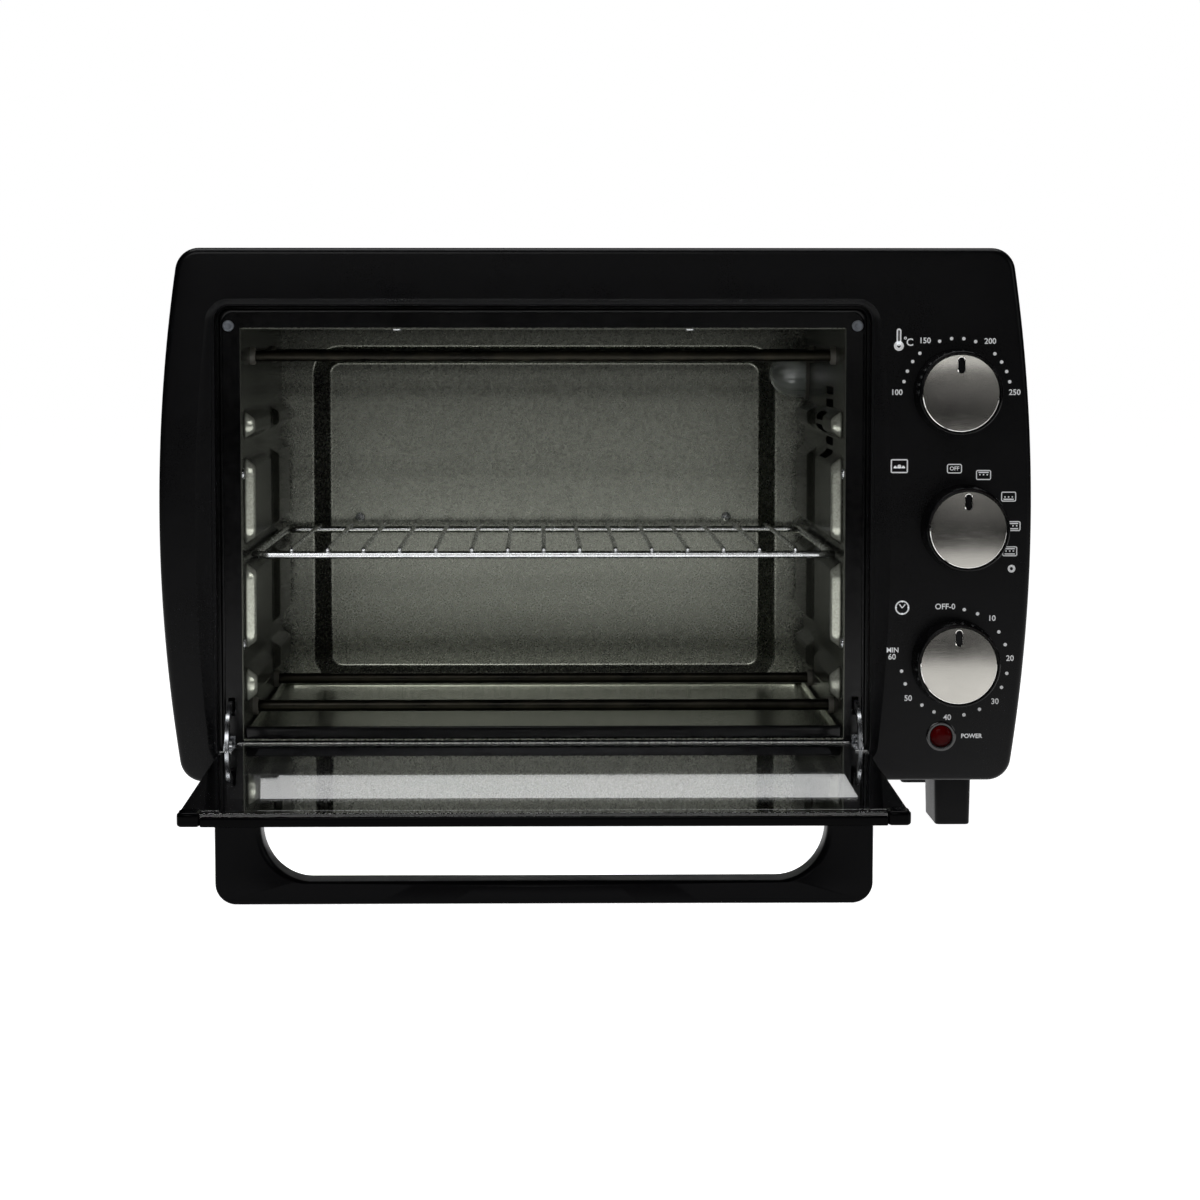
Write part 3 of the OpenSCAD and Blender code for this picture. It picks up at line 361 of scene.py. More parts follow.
def ranged(tree, value, low, high, start=0.3, end=0.7):
    """A value carried from one range to another, and held at its ends."""
    return add_node(tree, "MapRange", {"Value": value, "From Min": start, "From Max": end, "To Min": low,
                                       "To Max": high}).outputs[0]


def tinted(tree, value, dark, light, start=0.3, end=0.7):
    """A colour between two, led by a value."""
    mix = add_node(tree, "Mix", {"Factor": ranged(tree, value, 0, 1, start, end)}, data_type="RGBA")
    mix.inputs[6].default_value = (*dark, 1)
    mix.inputs[7].default_value = (*light, 1)
    return mix.outputs[2]


def bumped(tree, height, distance, strength=0.5):
    """A relief of so many millimetres from a value."""
    return add_node(tree, "Bump", {"Height": height, "Distance": distance * 0.001, "Strength": strength}).outputs[0]


def plain_finish(name, dark, light, rough, grain_scale=900, bump=0.02, wear=0.06, patch=25, stretch=(1, 1, 1),
                 **shader):
    """A moulded, painted or metal surface: broad patches of shade and gloss under a fine grain with relief."""
    tree, body, place = new_finish(name, {k.replace("_", " "): v for k, v in shader.items()})
    fine = grain(tree, place, grain_scale, stretch, 3)
    broad = grain(tree, place, patch, (1, 1, 1), 5, 0.55)
    tree.links.new(tinted(tree, broad, dark, light), body.inputs["Base Color"])
    mixed = add_node(tree, "Math", {0: fine, 1: broad}, operation="ADD").outputs[0]
    tree.links.new(ranged(tree, mixed, rough - wear, rough + wear, 0.7, 1.3), body.inputs["Roughness"])
    tree.links.new(bumped(tree, fine, bump), body.inputs["Normal"])
    return tree, body, place


def coated_steel(name, dark, light, rough, spangle, top_shade=1.0):
    """Coated sheet with a fine spangle: cells of slightly different shade and gloss under a soft grain, and a
    painted shade that darkens it towards the top."""
    tree, body, place = new_finish(name, {"Metallic": 1.0})
    cells = add_node(tree, "TexVoronoi", {"Vector": place, "Scale": spangle, "Randomness": 1.0}).outputs["Color"]
    cell = add_node(tree, "SeparateColor", {"Color": cells}).outputs[0]
    broad = grain(tree, place, 14, (1, 1, 1), 6, 0.6)
    fine = grain(tree, place, 700, (1, 1, 1), 3)
    shade = add_node(tree, "Math", {0: cell, 1: broad}, operation="ADD").outputs[0]
    colour = tinted(tree, shade, dark, light, 0.4, 1.5)
    # painted shade: the colour is scaled down towards the top of the cavity
    height = add_node(tree, "SeparateXYZ", {"Vector": place}).outputs[2]
    top_darkening = ranged(tree, height, 1, top_shade, 0.2, 0.28)
    mix = add_node(tree, "VectorMath", {0: colour, "Scale": top_darkening}, operation="SCALE").outputs[0]
    tree.links.new(mix, body.inputs["Base Color"])
    tree.links.new(ranged(tree, cell, rough - 0.03, rough + 0.03, 0, 1), body.inputs["Roughness"])
    both = add_node(tree, "Math", {0: fine, 1: broad}, operation="ADD").outputs[0]
    tree.links.new(bumped(tree, both, 0.004, 0.4), body.inputs["Normal"])
    return tree, body, place


def paint_pad_highlight(tree, body, place):
    """Paints a highlight on the pads' front shoulders: the shade grows on whatever stands off the wall
    within the first millimetres of depth."""
    axes = add_node(tree, "SeparateXYZ", {"Vector": place})
    shoulder = FRONT + RECESS_D + 17
    near = ranged(tree, axes.outputs[1], 1, 0, shoulder / 1000, (shoulder + 3) / 1000)
    across = add_node(tree, "Math", {0: axes.outputs[0], 1: float(DOOR_X) / 1000}, operation="SUBTRACT").outputs[0]
    across = add_node(tree, "Math", {0: across}, operation="ABSOLUTE").outputs[0]
    off = ranged(tree, across, 1, 0, (CAVITY_HALF - 1.4) / 1000, (CAVITY_HALF - 0.4) / 1000)
    highlight_mask = add_node(tree, "Math", {0: near, 1: off}, operation="MULTIPLY").outputs[0]
    # painted highlight: the colour there is raised up to six and a half times
    gain = ranged(tree, highlight_mask, 1, 6.5, 0, 1)
    shade = body.inputs["Base Color"].links[0].from_socket
    lit = add_node(tree, "VectorMath", {0: shade, "Scale": gain}, operation="SCALE").outputs[0]
    tree.links.new(lit, body.inputs["Base Color"])


def make_finishes(colours):
    """Every finish of the oven, from the colours that a user may set."""
    black, ink, enamel = tuple(colours.fascia), tuple(colours.print), tuple(colours.enamel)
    steel, metal = np.array(colours.steel), np.array(colours.knob_metal)

    def shade(colour, k):
        return tuple(float(c) * k for c in colour)

    plain_finish("bezel_plastic", shade(black, 0.85), shade(black, 1.25), 0.3, 1500, 0.02, 0.05,
                 Specular_IOR_Level=0.13)
    plain_finish("frame_enamel", shade(enamel, 0.8), shade(enamel, 1.3), 0.18, 260, 0.01, 0.05,
                 Specular_IOR_Level=0.2)
    plain_finish("cover_paint", shade(black, 0.8), shade(black, 1.3), 0.44, 900, 0.06, 0.08,
                 Specular_IOR_Level=0.3)
    plain_finish("base_steel", (0.05, 0.05, 0.052), (0.085, 0.085, 0.09), 0.45, 600, 0.03, 0.1, Metallic=0.6)
    # the last number sets how dark the painted shade at the top of the cavity gets
    coated_steel("cavity_steel", shade(steel, 0.9), shade(steel, 1.15), 0.27, 1000, 0.4)
    # the side walls: the cavity steel darkened as painted shade, with a painted highlight on the pads' front
    # shoulders
    tree, body, place = coated_steel("shaded_side_steel", shade(steel, 0.3), shade(steel, 0.42), 0.22, 1000, 0.6)
    paint_pad_highlight(tree, body, place)
    body.inputs["Metallic"].default_value = 0.55
    body.inputs["Specular IOR Level"].default_value = 0.1
    body.inputs["Specular Tint"].default_value = (0.3, 0.3, 0.3, 1)
    coated_steel("tray_steel", shade(steel, 1.3), shade(steel, 1.6), 0.24, 1000)
    plain_finish("element_sheath", (0.008, 0.0075, 0.006), (0.03, 0.027, 0.019), 0.34, 500, 0.04, 0.1, 60,
                 (0.15, 1, 1), Metallic=0.85)
    plain_finish("insulator_ceramic", (0.16, 0.15, 0.13), (0.26, 0.25, 0.22), 0.55, 500, 0.03)
    plain_finish("lamp_glass", (0.9, 0.95, 0.93), (0.97, 0.99, 0.98), 0.035, 90, 0.1, 0.02, Transmission_Weight=0.7,
                 IOR=1.6, Specular_IOR_Level=1.0)
    plain_finish("bulb_glass", (0.9, 0.9, 0.86), (1, 1, 0.97), 0.12, 200, 0.01, 0.04, Transmission_Weight=0.7,
                 IOR=1.45)
    plain_finish("control_metal", (0.45, 0.45, 0.44), (0.65, 0.65, 0.63), 0.34, 400, 0.02, 0.08, Metallic=1.0)
    plain_finish("control_body", (0.3, 0.26, 0.18), (0.4, 0.35, 0.26), 0.5, 700, 0.03)
    plain_finish("bell_brass", (0.55, 0.38, 0.15), (0.78, 0.56, 0.26), 0.22, 500, 0.01, 0.07, Metallic=1.0)
    plain_finish("housing_plastic", shade(black, 0.7), shade(black, 1.1), 0.2, 900, 0.01, 0.05, Coat_Weight=0.3)
    plain_finish("lens_red", (0.13, 0.001, 0.002), (0.2, 0.002, 0.003), 0.12, 300, 0.01, 0.03, 60,
                 Transmission_Weight=0.2, IOR=1.3, Specular_IOR_Level=0.02)
    plain_finish("neon_glass", (0.85, 0.5, 0.4), (0.95, 0.7, 0.6), 0.08, 200, 0.01, 0.03, Transmission_Weight=0.6)
    plain_finish("foot_plastic", shade(black, 0.7), shade(black, 1.2), 0.46, 1100, 0.04, 0.08,
                 Specular_IOR_Level=0.12)
    plain_finish("fastener", (0.42, 0.43, 0.44), (0.68, 0.69, 0.7), 0.25, 600, 0.02, 0.1, 300, Metallic=1.0)
    plain_finish("bumper_rubber", (0.22, 0.24, 0.27), (0.34, 0.37, 0.41), 0.5, 900, 0.04)
    plain_finish("hinge_steel", (0.25, 0.26, 0.27), (0.42, 0.43, 0.45), 0.24, 350, 0.02, 0.1, 90, (1, 1, 0.2),
                 Metallic=1.0)
    plain_finish("rail_steel", (0.012, 0.012, 0.013), (0.024, 0.024, 0.026), 0.3, 350, 0.01, 0.06, 90,
                 (0.2, 1, 1), Metallic=1.0)
    plain_finish("spring_steel", (0.4, 0.41, 0.43), (0.62, 0.63, 0.64), 0.26, 700, 0.01, 0.08, Metallic=1.0)
    plain_finish("rack_chrome", (0.66, 0.67, 0.68), (0.84, 0.85, 0.86), 0.24, 900, 0.008, 0.06, 160, Metallic=1.0)
    plain_finish("rail_plastic", shade(black, 0.5), shade(black, 0.9), 0.17, 700, 0.01, 0.05,
                 Specular_IOR_Level=0.03)
    plain_finish("handle_plastic", shade(black, 0.8), shade(black, 1.25), 0.34, 1500, 0.03, 0.06,
                 Specular_IOR_Level=0.05)
    plain_finish("knob_plastic", shade(black, 0.7), shade(black, 1.15), 0.2, 900, 0.012, 0.05,
                 Specular_IOR_Level=0.15)
    plain_finish("knob_metal", shade(metal, 0.88), shade(metal, 1.1), 0.15, 2600, 0.003, 0.03, 30, (0.05, 1, 1),
                 Metallic=1.0)
    plain_finish("knob_rim", (0.82, 0.81, 0.78), (0.93, 0.92, 0.9), 0.12, 900, 0.01, 0.04, Metallic=1.0)
    plain_finish("shaft_steel", (0.45, 0.45, 0.45), (0.6, 0.6, 0.6), 0.28, 700, 0.02, 0.06, 200, (1, 0.1, 1),
                 Metallic=1.0)
    # the ink glows a little: painted light that brightens the print
    plain_finish("glowing_dial_ink", shade(ink, 0.85), ink, 0.5, 1600, 0.01, 0.08, 200, Emission_Color=(1, 1, 1, 1),
                 Emission_Strength=0.25)
    plain_finish("door_glass", (0.95, 0.97, 0.965), (1, 1, 1), 0.012, 60, 0.0, 0.01, 18,
                 Transmission_Weight=1.0, IOR=1.5)
    plain_finish("glass_print", shade(black, 0.5), shade(black, 0.9), 0.7, 1200, 0.005, 0.05,
                 Specular_IOR_Level=0.0)


# ---------- Shell ----------


def build_bezel(sizes):
    """The moulded fascia. Its section is a closed loop: from the rear rim along the outside, over a rounded edge,
    across the front, down a sloped band that widens into a hollow beside the door, back into the recess, and behind.
    Every ring is a bowed outline set in by a margin, or the recess's outline set out by a distance."""
    side, corner, flat = 40, 10, 40
    band, ledge, hollow_w, hollow_d = sizes.band_width, 1.5, 10.8, 2.9

    def outer(margin, y):
        loop = bowed_loop(margin, side, corner, flat)
        return np.column_stack([loop[:, 0], np.full(len(loop), y), loop[:, 1]])

    def inner(u, depth, back=False):
        # u is the share of the band's width, which is widest at the recess's half height; behind the recess u is a
        # distance and the depth is not a share
        loop = rounded_loop(RECESS_W, RECESS_H, RECESS_R, side, corner, flat, (DOOR_X, RECESS_Z))
        wide = rounded_loop(RECESS_W + 2, RECESS_H + 2, RECESS_R + 1, side, corner, flat, (DOOR_X, RECESS_Z))
        out = wide - loop
        lens = np.clip(1 - ((loop[:, 1] - RECESS_Z) / (RECESS_H / 2)) ** 2, 0, 1) * np.abs(out[:, 0])
        width = 1.0 if back else band + (hollow_w - band) * lens
        drop = 1.0 if back else ledge + (hollow_d - ledge) * lens
        place = loop + out * (u * width * np.ones(len(loop)))[:, None]
        return np.column_stack([place[:, 0], depth * drop * np.ones(len(loop)), place[:, 1]])

    edge = sizes.edge_radius
    rows = [outer(0, FASCIA_D - 0.4), outer(0.0, edge + 0.2)]
    rows += [outer(edge * (1 - math.cos(t)), edge * (1 - math.sin(t))) for t in np.linspace(0, math.pi / 2, 7)]
    rows += [inner(u, depth) for u, depth in ((1.12, 0), (1, 0.02), (0.985, 0.06), (0.3, 0.86), (0.2, 0.9),
                                              (0.18, 1.0), (0.06, 1.0), (0, 1.08))]
    rows += [inner(u, depth, True) for u, depth in ((0, RECESS_D), (2.5, RECESS_D), (2.5, 6.0), (12, 6.0))]
    rows += [outer(6, 2.6), outer(FASCIA_WALL, 3.4), outer(FASCIA_WALL, FASCIA_D - 0.4),
             outer(FASCIA_WALL - 0.4, FASCIA_D), outer(0.4, FASCIA_D)]
    new_piece("fascia", [moved(net(np.array(rows), rows=True), in_oven)], "front_bezel", sharp=24)


def build_frame():
    """The steel plate behind the fascia, and a pressed bead round the oven opening: a half round carried round it."""
    softened_node("front_frame", 0.12, 2)
    rows = []
    for t in np.linspace(0, math.pi, 9):
        d = 1.1 * math.cos(t)
        loop = rounded_loop(RECESS_W - 5.5 + 2 * d, RECESS_H - 5.5 + 2 * d, 6, 30, 8, 30, (DOOR_X, RECESS_Z))
        rows.append(np.column_stack([loop[:, 0], np.full(len(loop), RECESS_D - 1.0 * math.sin(t)), loop[:, 1]]))
    new_piece("frame_bead", [moved(net(np.array(rows), rows=True), in_oven)], "front_frame", hide=False)


def build_cover():
    """The bowed wrap, the rear panel and the base plate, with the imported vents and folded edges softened."""
    softened_node("outer_cover", 0.15, 2)
    softened_node("rear_panel", 0.12, 2)
    softened_node("base_plate", 0.12, 2)


# ---------- Knobs and dial markings ----------


def slot_loop(w, h, n, middle):
    """An upright slot with round ends, from its lower right: two lines joined by half circles."""
    r = w / 2
    up = h / 2 - r
    loop = [segment((r, -up), (r, up), n // 4), arc(0, up, r, 0, math.pi, n // 4),
            segment((-r, up), (-r, -up), n // 4), arc(0, -up, r, math.pi, 2 * math.pi, n // 4)]
    return np.concatenate(loop) + np.array(middle)


def build_knob(part, place, sizes):
    """A turned skirt with round edges and a hub, and a spun metal face: rings that pass from the pointer slot's
    outline to the face's circle, with a polished chamfer round the rim and a rolled edge at the slot."""
    low, high = span(part + "_knob")
    r, back, front = (high[0] - low[0]) / 2, high[1], low[1]
    node, cap_low, cap_high = part + "_knob", *span(part + "_cap")
    face_r, cap_front, seat = (cap_high[0] - cap_low[0]) / 2, cap_low[1], cap_high[1]
    top = r - 1.2
    profile = [(r - 0.5, back), (r, back - 0.5), (r - 0.1, back - 2), (top + 0.12, front + 1.6), (top, front + 0.8),
               (top - 0.12, front + 0.35), (top - 0.4, front + 0.06), (top - 0.7, front), (face_r + 0.18, front),
               (face_r + 0.1, front + 0.1), (face_r + 0.08, seat), (0.01, seat), (0.01, seat + 2),
               (face_r - 2.2, seat + 2), (face_r - 2, seat + 2.3), (r - 2.6, back)]
    x, z = place
    hub = [(3.1, seat + 2), (6, seat + 2), (6, back - 0.3), (5.7, back), (3.3, back), (3.1, back - 0.3)]
    new_piece(node + "_body", [hollow("y", (x, 0, z), profile, 128), hollow("y", (x, 0, z), hub, 48)], node, sharp=38)
    n, slot_h, slot_w = 128, 8.0, 3.1
    slot_z = face_r - 2.5 - slot_h / 2

    def slot(grow):
        # the pointer slot's outline, wider by so much, from its right side on
        return np.roll(slot_loop(slot_w + grow, slot_h + grow, n, (0, slot_z)), n // 8, 0)

    start = np.arctan2(slot(0)[:, 1] - slot_z, slot(0)[:, 0])

    def circle(radius):
        # the circle's point seen from the slot's middle in the direction of each slot point
        b = slot_z * np.sin(start)
        t = -b + np.sqrt(b * b - slot_z * slot_z + radius * radius)
        return np.column_stack([t * np.cos(start), slot_z + t * np.sin(start)])

    def layer(points, y):
        return np.column_stack([points[:, 0] + x, np.broadcast_to(y, len(points)), points[:, 1] + z])

    def crown(points):
        # the face is a shallow dome whose height falls with the square of the distance from its middle
        return cap_front + sizes.face_crown * (points ** 2).sum(1) / face_r ** 2

    chamfer = sizes.rim_width
    inner_r = face_r - chamfer
    rows = [layer(slot(-0.1), seat)]
    rows += [layer(slot(grow), crown(slot(grow)) + drop)
             for grow, drop in ((0, 0.75), (0.1, 0.5), (0.56, 0.12), (1, 0))]
    for k in (0.1, 0.25, 0.45, 0.7, 0.9, 1.0):
        loop = slot(1) + (circle(inner_r) - slot(1)) * k
        rows.append(layer(loop, crown(loop)))
    edge, edge_y = circle(face_r), cap_front + sizes.face_crown + chamfer * 0.55
    rows += [layer(circle(face_r - 0.12), edge_y), layer(edge, edge_y + 0.15), layer(edge, seat)]
    cap = new_piece(part + "_face", [net(np.array(rows), rows=True)], part + "_cap", sharp=20)
    cap.data.materials.append(finishes["knob_rim"])
    middle = np.empty(len(cap.data.polygons) * 3)
    cap.data.polygons.foreach_get("center", middle)
    middle = middle.reshape(-1, 3) * 1000 - [x, 0, z]
    far = np.hypot(middle[:, 0], middle[:, 2])
    slot_far = np.hypot(middle[:, 0], np.maximum(np.abs(middle[:, 2] - slot_z) - (slot_h - slot_w) / 2, 0))
    rim = ((far > inner_r) | (slot_far < slot_w / 2 + 0.45)).astype(np.int32)
    cap.data.polygons.foreach_set("material_index", rim)
    low, high = span(part + "_shaft")
    spindle = [(2.6, low[1]), (3, low[1] + 0.4), (3, high[1] - 0.5), (2.5, high[1])]
    new_piece(part + "_spindle", [turned("y", (x, 0, z), spindle, 40)], part + "_shaft", sharp=40)


def print_text(words, size, place, bold=0.0, tilt=0.0):
    """Letters as a flat mesh part, centred on a place on the fascia."""
    curve = bpy.data.curves.new("letters", "FONT")
    curve.body, curve.size, curve.align_x, curve.align_y = words, size, "CENTER", "CENTER"
    curve.offset, curve.resolution_u = bold, 3
    holder = bpy.data.objects.new("letters", curve)
    bpy.context.scene.collection.objects.link(holder)
    bpy.context.view_layer.update()
    mesh = bpy.data.meshes.new_from_object(holder.evaluated_get(bpy.context.evaluated_depsgraph_get()))
    flat = np.empty(len(mesh.vertices) * 3)
    mesh.vertices.foreach_get("co", flat)
    flat = flat.reshape(-1, 3)
    faces = [list(p.vertices) for p in mesh.polygons]
    bpy.data.objects.remove(holder)
    bpy.data.curves.remove(curve)
    bpy.data.meshes.remove(mesh)
    c, s = math.cos(tilt), math.sin(tilt)
    x, z = flat[:, 0] * c - flat[:, 1] * s, flat[:, 0] * s + flat[:, 1] * c
    return np.column_stack([x + place[0], np.full(len(flat), -0.06), z + place[1]]), faces


def print_shape(outline, holes=()):
    """A printed shape a twentieth of a millimetre thick on the fascia."""
    points, faces = prism(outline, holes, 0.01, 0.06)
    return np.column_stack([points[:, 0], -points[:, 2], points[:, 1]]), faces


def dot(x, z, r=0.95):
    """A printed dot."""
    return print_shape(arc(x, z, r, 0, 2 * math.pi, 20))


def ring_mark(x, z, r, hole_r, n, hole_n):
    """A printed ring."""
    return print_shape(arc(x, z, r, 0, 2 * math.pi, n), [arc(x, z, hole_r, 0, 2 * math.pi, hole_n)])


def box_ring(x, z, w, h, r, line):
    """A printed frame with round corners and lines of one width."""
    return print_shape(rounded_loop(w, h, r, 1, 4, 1, (x, z)),
                       [rounded_loop(w - 2 * line, h - 2 * line, max(r - line, 0.2), 1, 4, 1, (x, z))])


def bar(x, z, w, h):
    """A printed bar."""
    w, h = w / 2, h / 2
    return print_shape([(x - w, z - h), (x + w, z - h), (x + w, z + h), (x - w, z + h)])


def around(place, radius, degrees):
    """A place on a dial's circle, at an angle clockwise from the top."""
    a = math.radians(degrees)
    return place[0] + radius * math.sin(a), place[1] + radius * math.cos(a)


def build_dials(sizes):
    """The markings: rings of dots with numbers, the heating symbols, a thermometer, a clock and the word POWER."""
    top, middle, low = [place for _, place in KNOBS]
    letter = sizes.number_height
    parts = []
    for words, angle, far in (("100", -90, 32.6), ("150", -32, 33.0), ("200", 33, 33.0), ("250", 90, 31.5)):
        parts.append(print_text(words, letter, around(top, far, angle), 0.08))
    for start, end in ((-90, -32), (-32, 33), (33, 90)):
        parts += [dot(*around(top, 29.3, start + (end - start) * k / 5)) for k in (1, 2, 3, 4)]
    tx, tz = top[0] - 31.6, top[1] + 28.4
    parts += [print_shape(slot_loop(2.6, 9.5, 40, (tx, tz + 1.5)), [slot_loop(0.9, 6.5, 40, (tx, tz + 2.0))]),
              ring_mark(tx, tz - 3.2, 2.7, 1.0, 28, 20), ring_mark(tx + 3.5, tz + 1.0, 0.8, 0.35, 16, 12),
              print_text("C", 5.6, (tx + 5.9, tz - 1.4), 0.1)]
    # heating symbols: a rounded box whose bars stand for the elements that are on
    ox, oz = around(middle, 31.6, 0)
    parts += [box_ring(ox - 5.4, oz + 0.6, 8.2, 5.2, 1.2, 0.55), print_text("OFF", 3.0, (ox - 5.4, oz + 0.6), 0.06)]
    for angle, far, bars in ((20, 30.6, (1.6,)), (55, 29.6, (-1.6,)), (88, 26.8, (1.6, -1.6)),
                             (117, 28.2, (1.6, -1.6))):
        bx, bz = around(middle, far, angle)
        parts.append(box_ring(bx, bz, 8.2, 5.4, 1.0, 0.55))
        parts += [bar(bx, bz + k * 0.9, 5.6, 0.7) for k in bars]
        parts += [dot(bx + k, bz + bars[0] * 0.1, 0.42) for k in (-2, 0, 2)]
    fx, fz = around(middle, 33.4, 124)
    parts.append(ring_mark(fx - 1.5, fz - 3.6, 2.1, 0.9, 24, 16))
    fx, fz = middle[0] - 35.4, middle[1] + 33.6
    parts += [box_ring(fx, fz, 9.4, 7.6, 0.9, 0.7), dot(fx, fz - 0.2, 1.1), dot(fx - 2.2, fz - 0.5, 0.75),
              dot(fx + 2.2, fz - 0.5, 0.75), bar(fx, fz - 0.9, 6.4, 0.5)]
    # minutes
    for words, angle, far in (("OFF-0", -10, 30.9), ("10", 40, 31.4), ("20", 86, 30.4), ("30", 134, 31.0),
                              ("40", 187, 30.5), ("50", 232, 32.0), ("60", 275, 34.3)):
        parts.append(print_text(words, letter, around(low, far, angle), 0.08))
    sx, sz = around(low, 34.3, 275)
    parts.append(print_text("MIN", letter * 0.88, (sx + 0.3, sz + 3.7), 0.08))
    for start, end in ((-5, 40), (40, 86), (86, 134), (134, 187), (187, 232), (232, 275)):
        parts += [dot(*around(low, 29.3, start + (end - start) * k / 3)) for k in (1, 2)]
    cx, cz = low[0] - 28.8, low[1] + 30.0
    parts += [ring_mark(cx, cz, 3.9, 3.1, 36, 32),
              print_shape([(cx - 0.35, cz - 0.2), (cx + 0.35, cz - 0.2), (cx + 1.9, cz + 1.6), (cx + 1.4, cz + 2.0)]),
              print_shape([(cx - 0.3, cz - 0.3), (cx + 0.3, cz - 0.3), (cx - 1.2, cz + 2.0), (cx - 1.8, cz + 1.7)])]
    parts += [dot(cx + 3.3 * math.sin(t), cz + 3.3 * math.cos(t), 0.5)
              for t in (0, math.pi / 2, math.pi, -math.pi / 2)]
    lens = (span("indicator_lens")[0] + span("indicator_lens")[1])[[0, 2]] / 2
    parts.append(print_text("POWER", 3.3, (lens[0] + 16.6, lens[1]), 0.1))
    new_piece("dial_markings", [moved(p, in_oven) for p in parts], "front_bezel", hide=False, finish="glowing_dial_ink",
              recalc=False, sharp=60)


def build_indicator():
    """The red lens, a stepped dome in a round rim, over its neon bulb."""
    low, high = span("indicator_lens")
    x, z, y = (low[0] + high[0]) / 2, (low[2] + high[2]) / 2, low[1]
    r, deep = (high[0] - low[0]) / 2, high[1]
    out = [(0.01, y), (1.6, y + 0.05), (3.0, y + 0.22), (4.2, y + 0.55), (5.0, y + 1.0), (5.5, y + 1.6),
           (r - 0.05, y + 2.1), (r - 0.05, deep - 0.3), (r - 0.3, deep), (r - 1.5, deep), (r - 1.5, y + 3.2),
           (0.01, y + 3.0)]
    new_piece("indicator_dome", [net(ring_about("y", (x, 0, z), out, 72), rows=True)], "indicator_lens", sharp=40)
    low, high = span("indicator_housing")
    y, rim, deep = low[1], (high[0] - low[0]) / 2, high[1]
    ring = [(6.02, y + 0.5), (6.3, y + 0.1), (6.8, y), (rim - 0.5, y), (rim - 0.1, y + 0.25), (rim, y + 1.0),
            (7, y + 1.0), (7, deep - 0.4), (6.6, deep), (0.01, deep), (0.01, deep - 2), (6.02, deep - 2)]
    new_piece("indicator_ring", [net(ring_about("y", (x, 0, z), ring, 72), rows=True)], "indicator_housing", sharp=35)
    low, high = span("indicator_bulb")
    y, deep, r = low[1], high[1], (high[0] - low[0]) / 2
    glass = [(0.02, y), (0.7, y + 0.2), (1.5, y + 0.9), (r, y + 2.2), (r, deep - 2.5), (r - 0.4, deep - 1.6),
             (r - 0.5, deep)]
    new_piece("neon_bulb", [turned("y", (x, 0, z), glass, 32)], "indicator_bulb")


# ---------- Door ----------


def build_glass(sizes):
    """The door's pane with ground edges, and its printed border on the outer face."""
    softened_node("door_glass", 0.45, 3)
    half, reach, past = DOOR_HALF - 0.6, DOOR_REACH - 2, 4.0
    notch_x, notch_y = STAY_X - 3, 28.0
    print_x = half - 0.4
    outline = [(-print_x, -reach + 12.2), (print_x, -reach + 12.2), (print_x, -notch_y - 0.4),
               (notch_x - 0.5, -notch_y - 0.4), (notch_x - 0.5, past - 0.5), (-notch_x + 0.5, past - 0.5),
               (-notch_x + 0.5, -notch_y - 0.4), (-print_x, -notch_y - 0.4)]
    length = reach + past - sizes.print_front - sizes.print_back
    middle = (0, (past - reach + sizes.print_front - sizes.print_back) / 2)
    window = rounded_loop(2 * (half - sizes.print_side), length, 2.5, 2, 6, 2, middle)
    border = prism(outline, [window], GLASS_LOW - 0.07, GLASS_LOW - 0.01)
    new_piece("glass_border", [moved(border, on_door)], "door_glass", finish="glass_print", hide=False)


def profile_along(x0, x1, profile, ends=0.6):
    """A closed section in y and z carried along X, its end rings drawn in a little so that the ends are rounded."""
    profile = np.asarray(profile, float)
    middle = profile.mean(0)
    rings = []
    for x, k in ((x0, 1), (x0 + ends * 0.3, 0.45), (x0 + ends, 0), (x1 - ends, 0), (x1 - ends * 0.3, 0.45), (x1, 1)):
        away = profile - middle
        far = np.linalg.norm(away, axis=1)[:, None]
        p = middle + away * (1 - k * ends / np.maximum(far, ends))
        rings.append(np.column_stack([np.full(len(p), x), p]))
    return closed(np.array(rings))


def rounded_section(y0, y1, z0, z1, r, n=5):
    """A rounded rectangle between two depths and two heights."""
    loop = rounded_loop(y1 - y0, z1 - z0, r, 3, n, 3)
    return loop + [(y0 + y1) / 2, (z0 + z1) / 2]


def build_rails():
    """The top rail, a flange and a lip with round edges, the glossy end caps, and the bottom rail."""
    half, reach = DOOR_HALF - 11, DOOR_REACH
    lip = span("door_top_rail")[1][2] - HINGE[2] + reach * math.sin(DROOP)
    flange = rounded_section(-reach + 0.2, -reach + 14, GLASS_LOW - 2.5, GLASS_LOW, 0.9)
    front = rounded_section(-reach, -reach + 2.0, GLASS_LOW - 2.4, lip, 0.7)
    new_piece("top_rail", [moved(profile_along(-half, half, flange), on_door),
                           moved(profile_along(-half, half, front), on_door)], "door_top_rail", sharp=40)
    caps = []
    body = rounded_section(-reach, -reach + 14, GLASS_LOW - 2.5, GLASS_HIGH + 0.6, 2.0, 7)
    for side in (-1, 1):
        a, b = sorted((side * half, side * DOOR_HALF))
        caps.append(moved(profile_along(a, b, body, 1.6), on_door))
        rib = rounded_section(-reach - 0.02, -reach + 13.0, GLASS_LOW - 1.0, GLASS_HIGH - 0.8, 0.8, 4)
        a, b = sorted((side * (half + 3.5), side * (half + 4.3)))
        caps.append(moved(profile_along(a, b, rib, 0.2), on_door))
    new_piece("end_caps", caps, "rail_end_caps", sharp=50)
    softened_node("door_bottom_rail", 0.5, 3, "rail_steel")


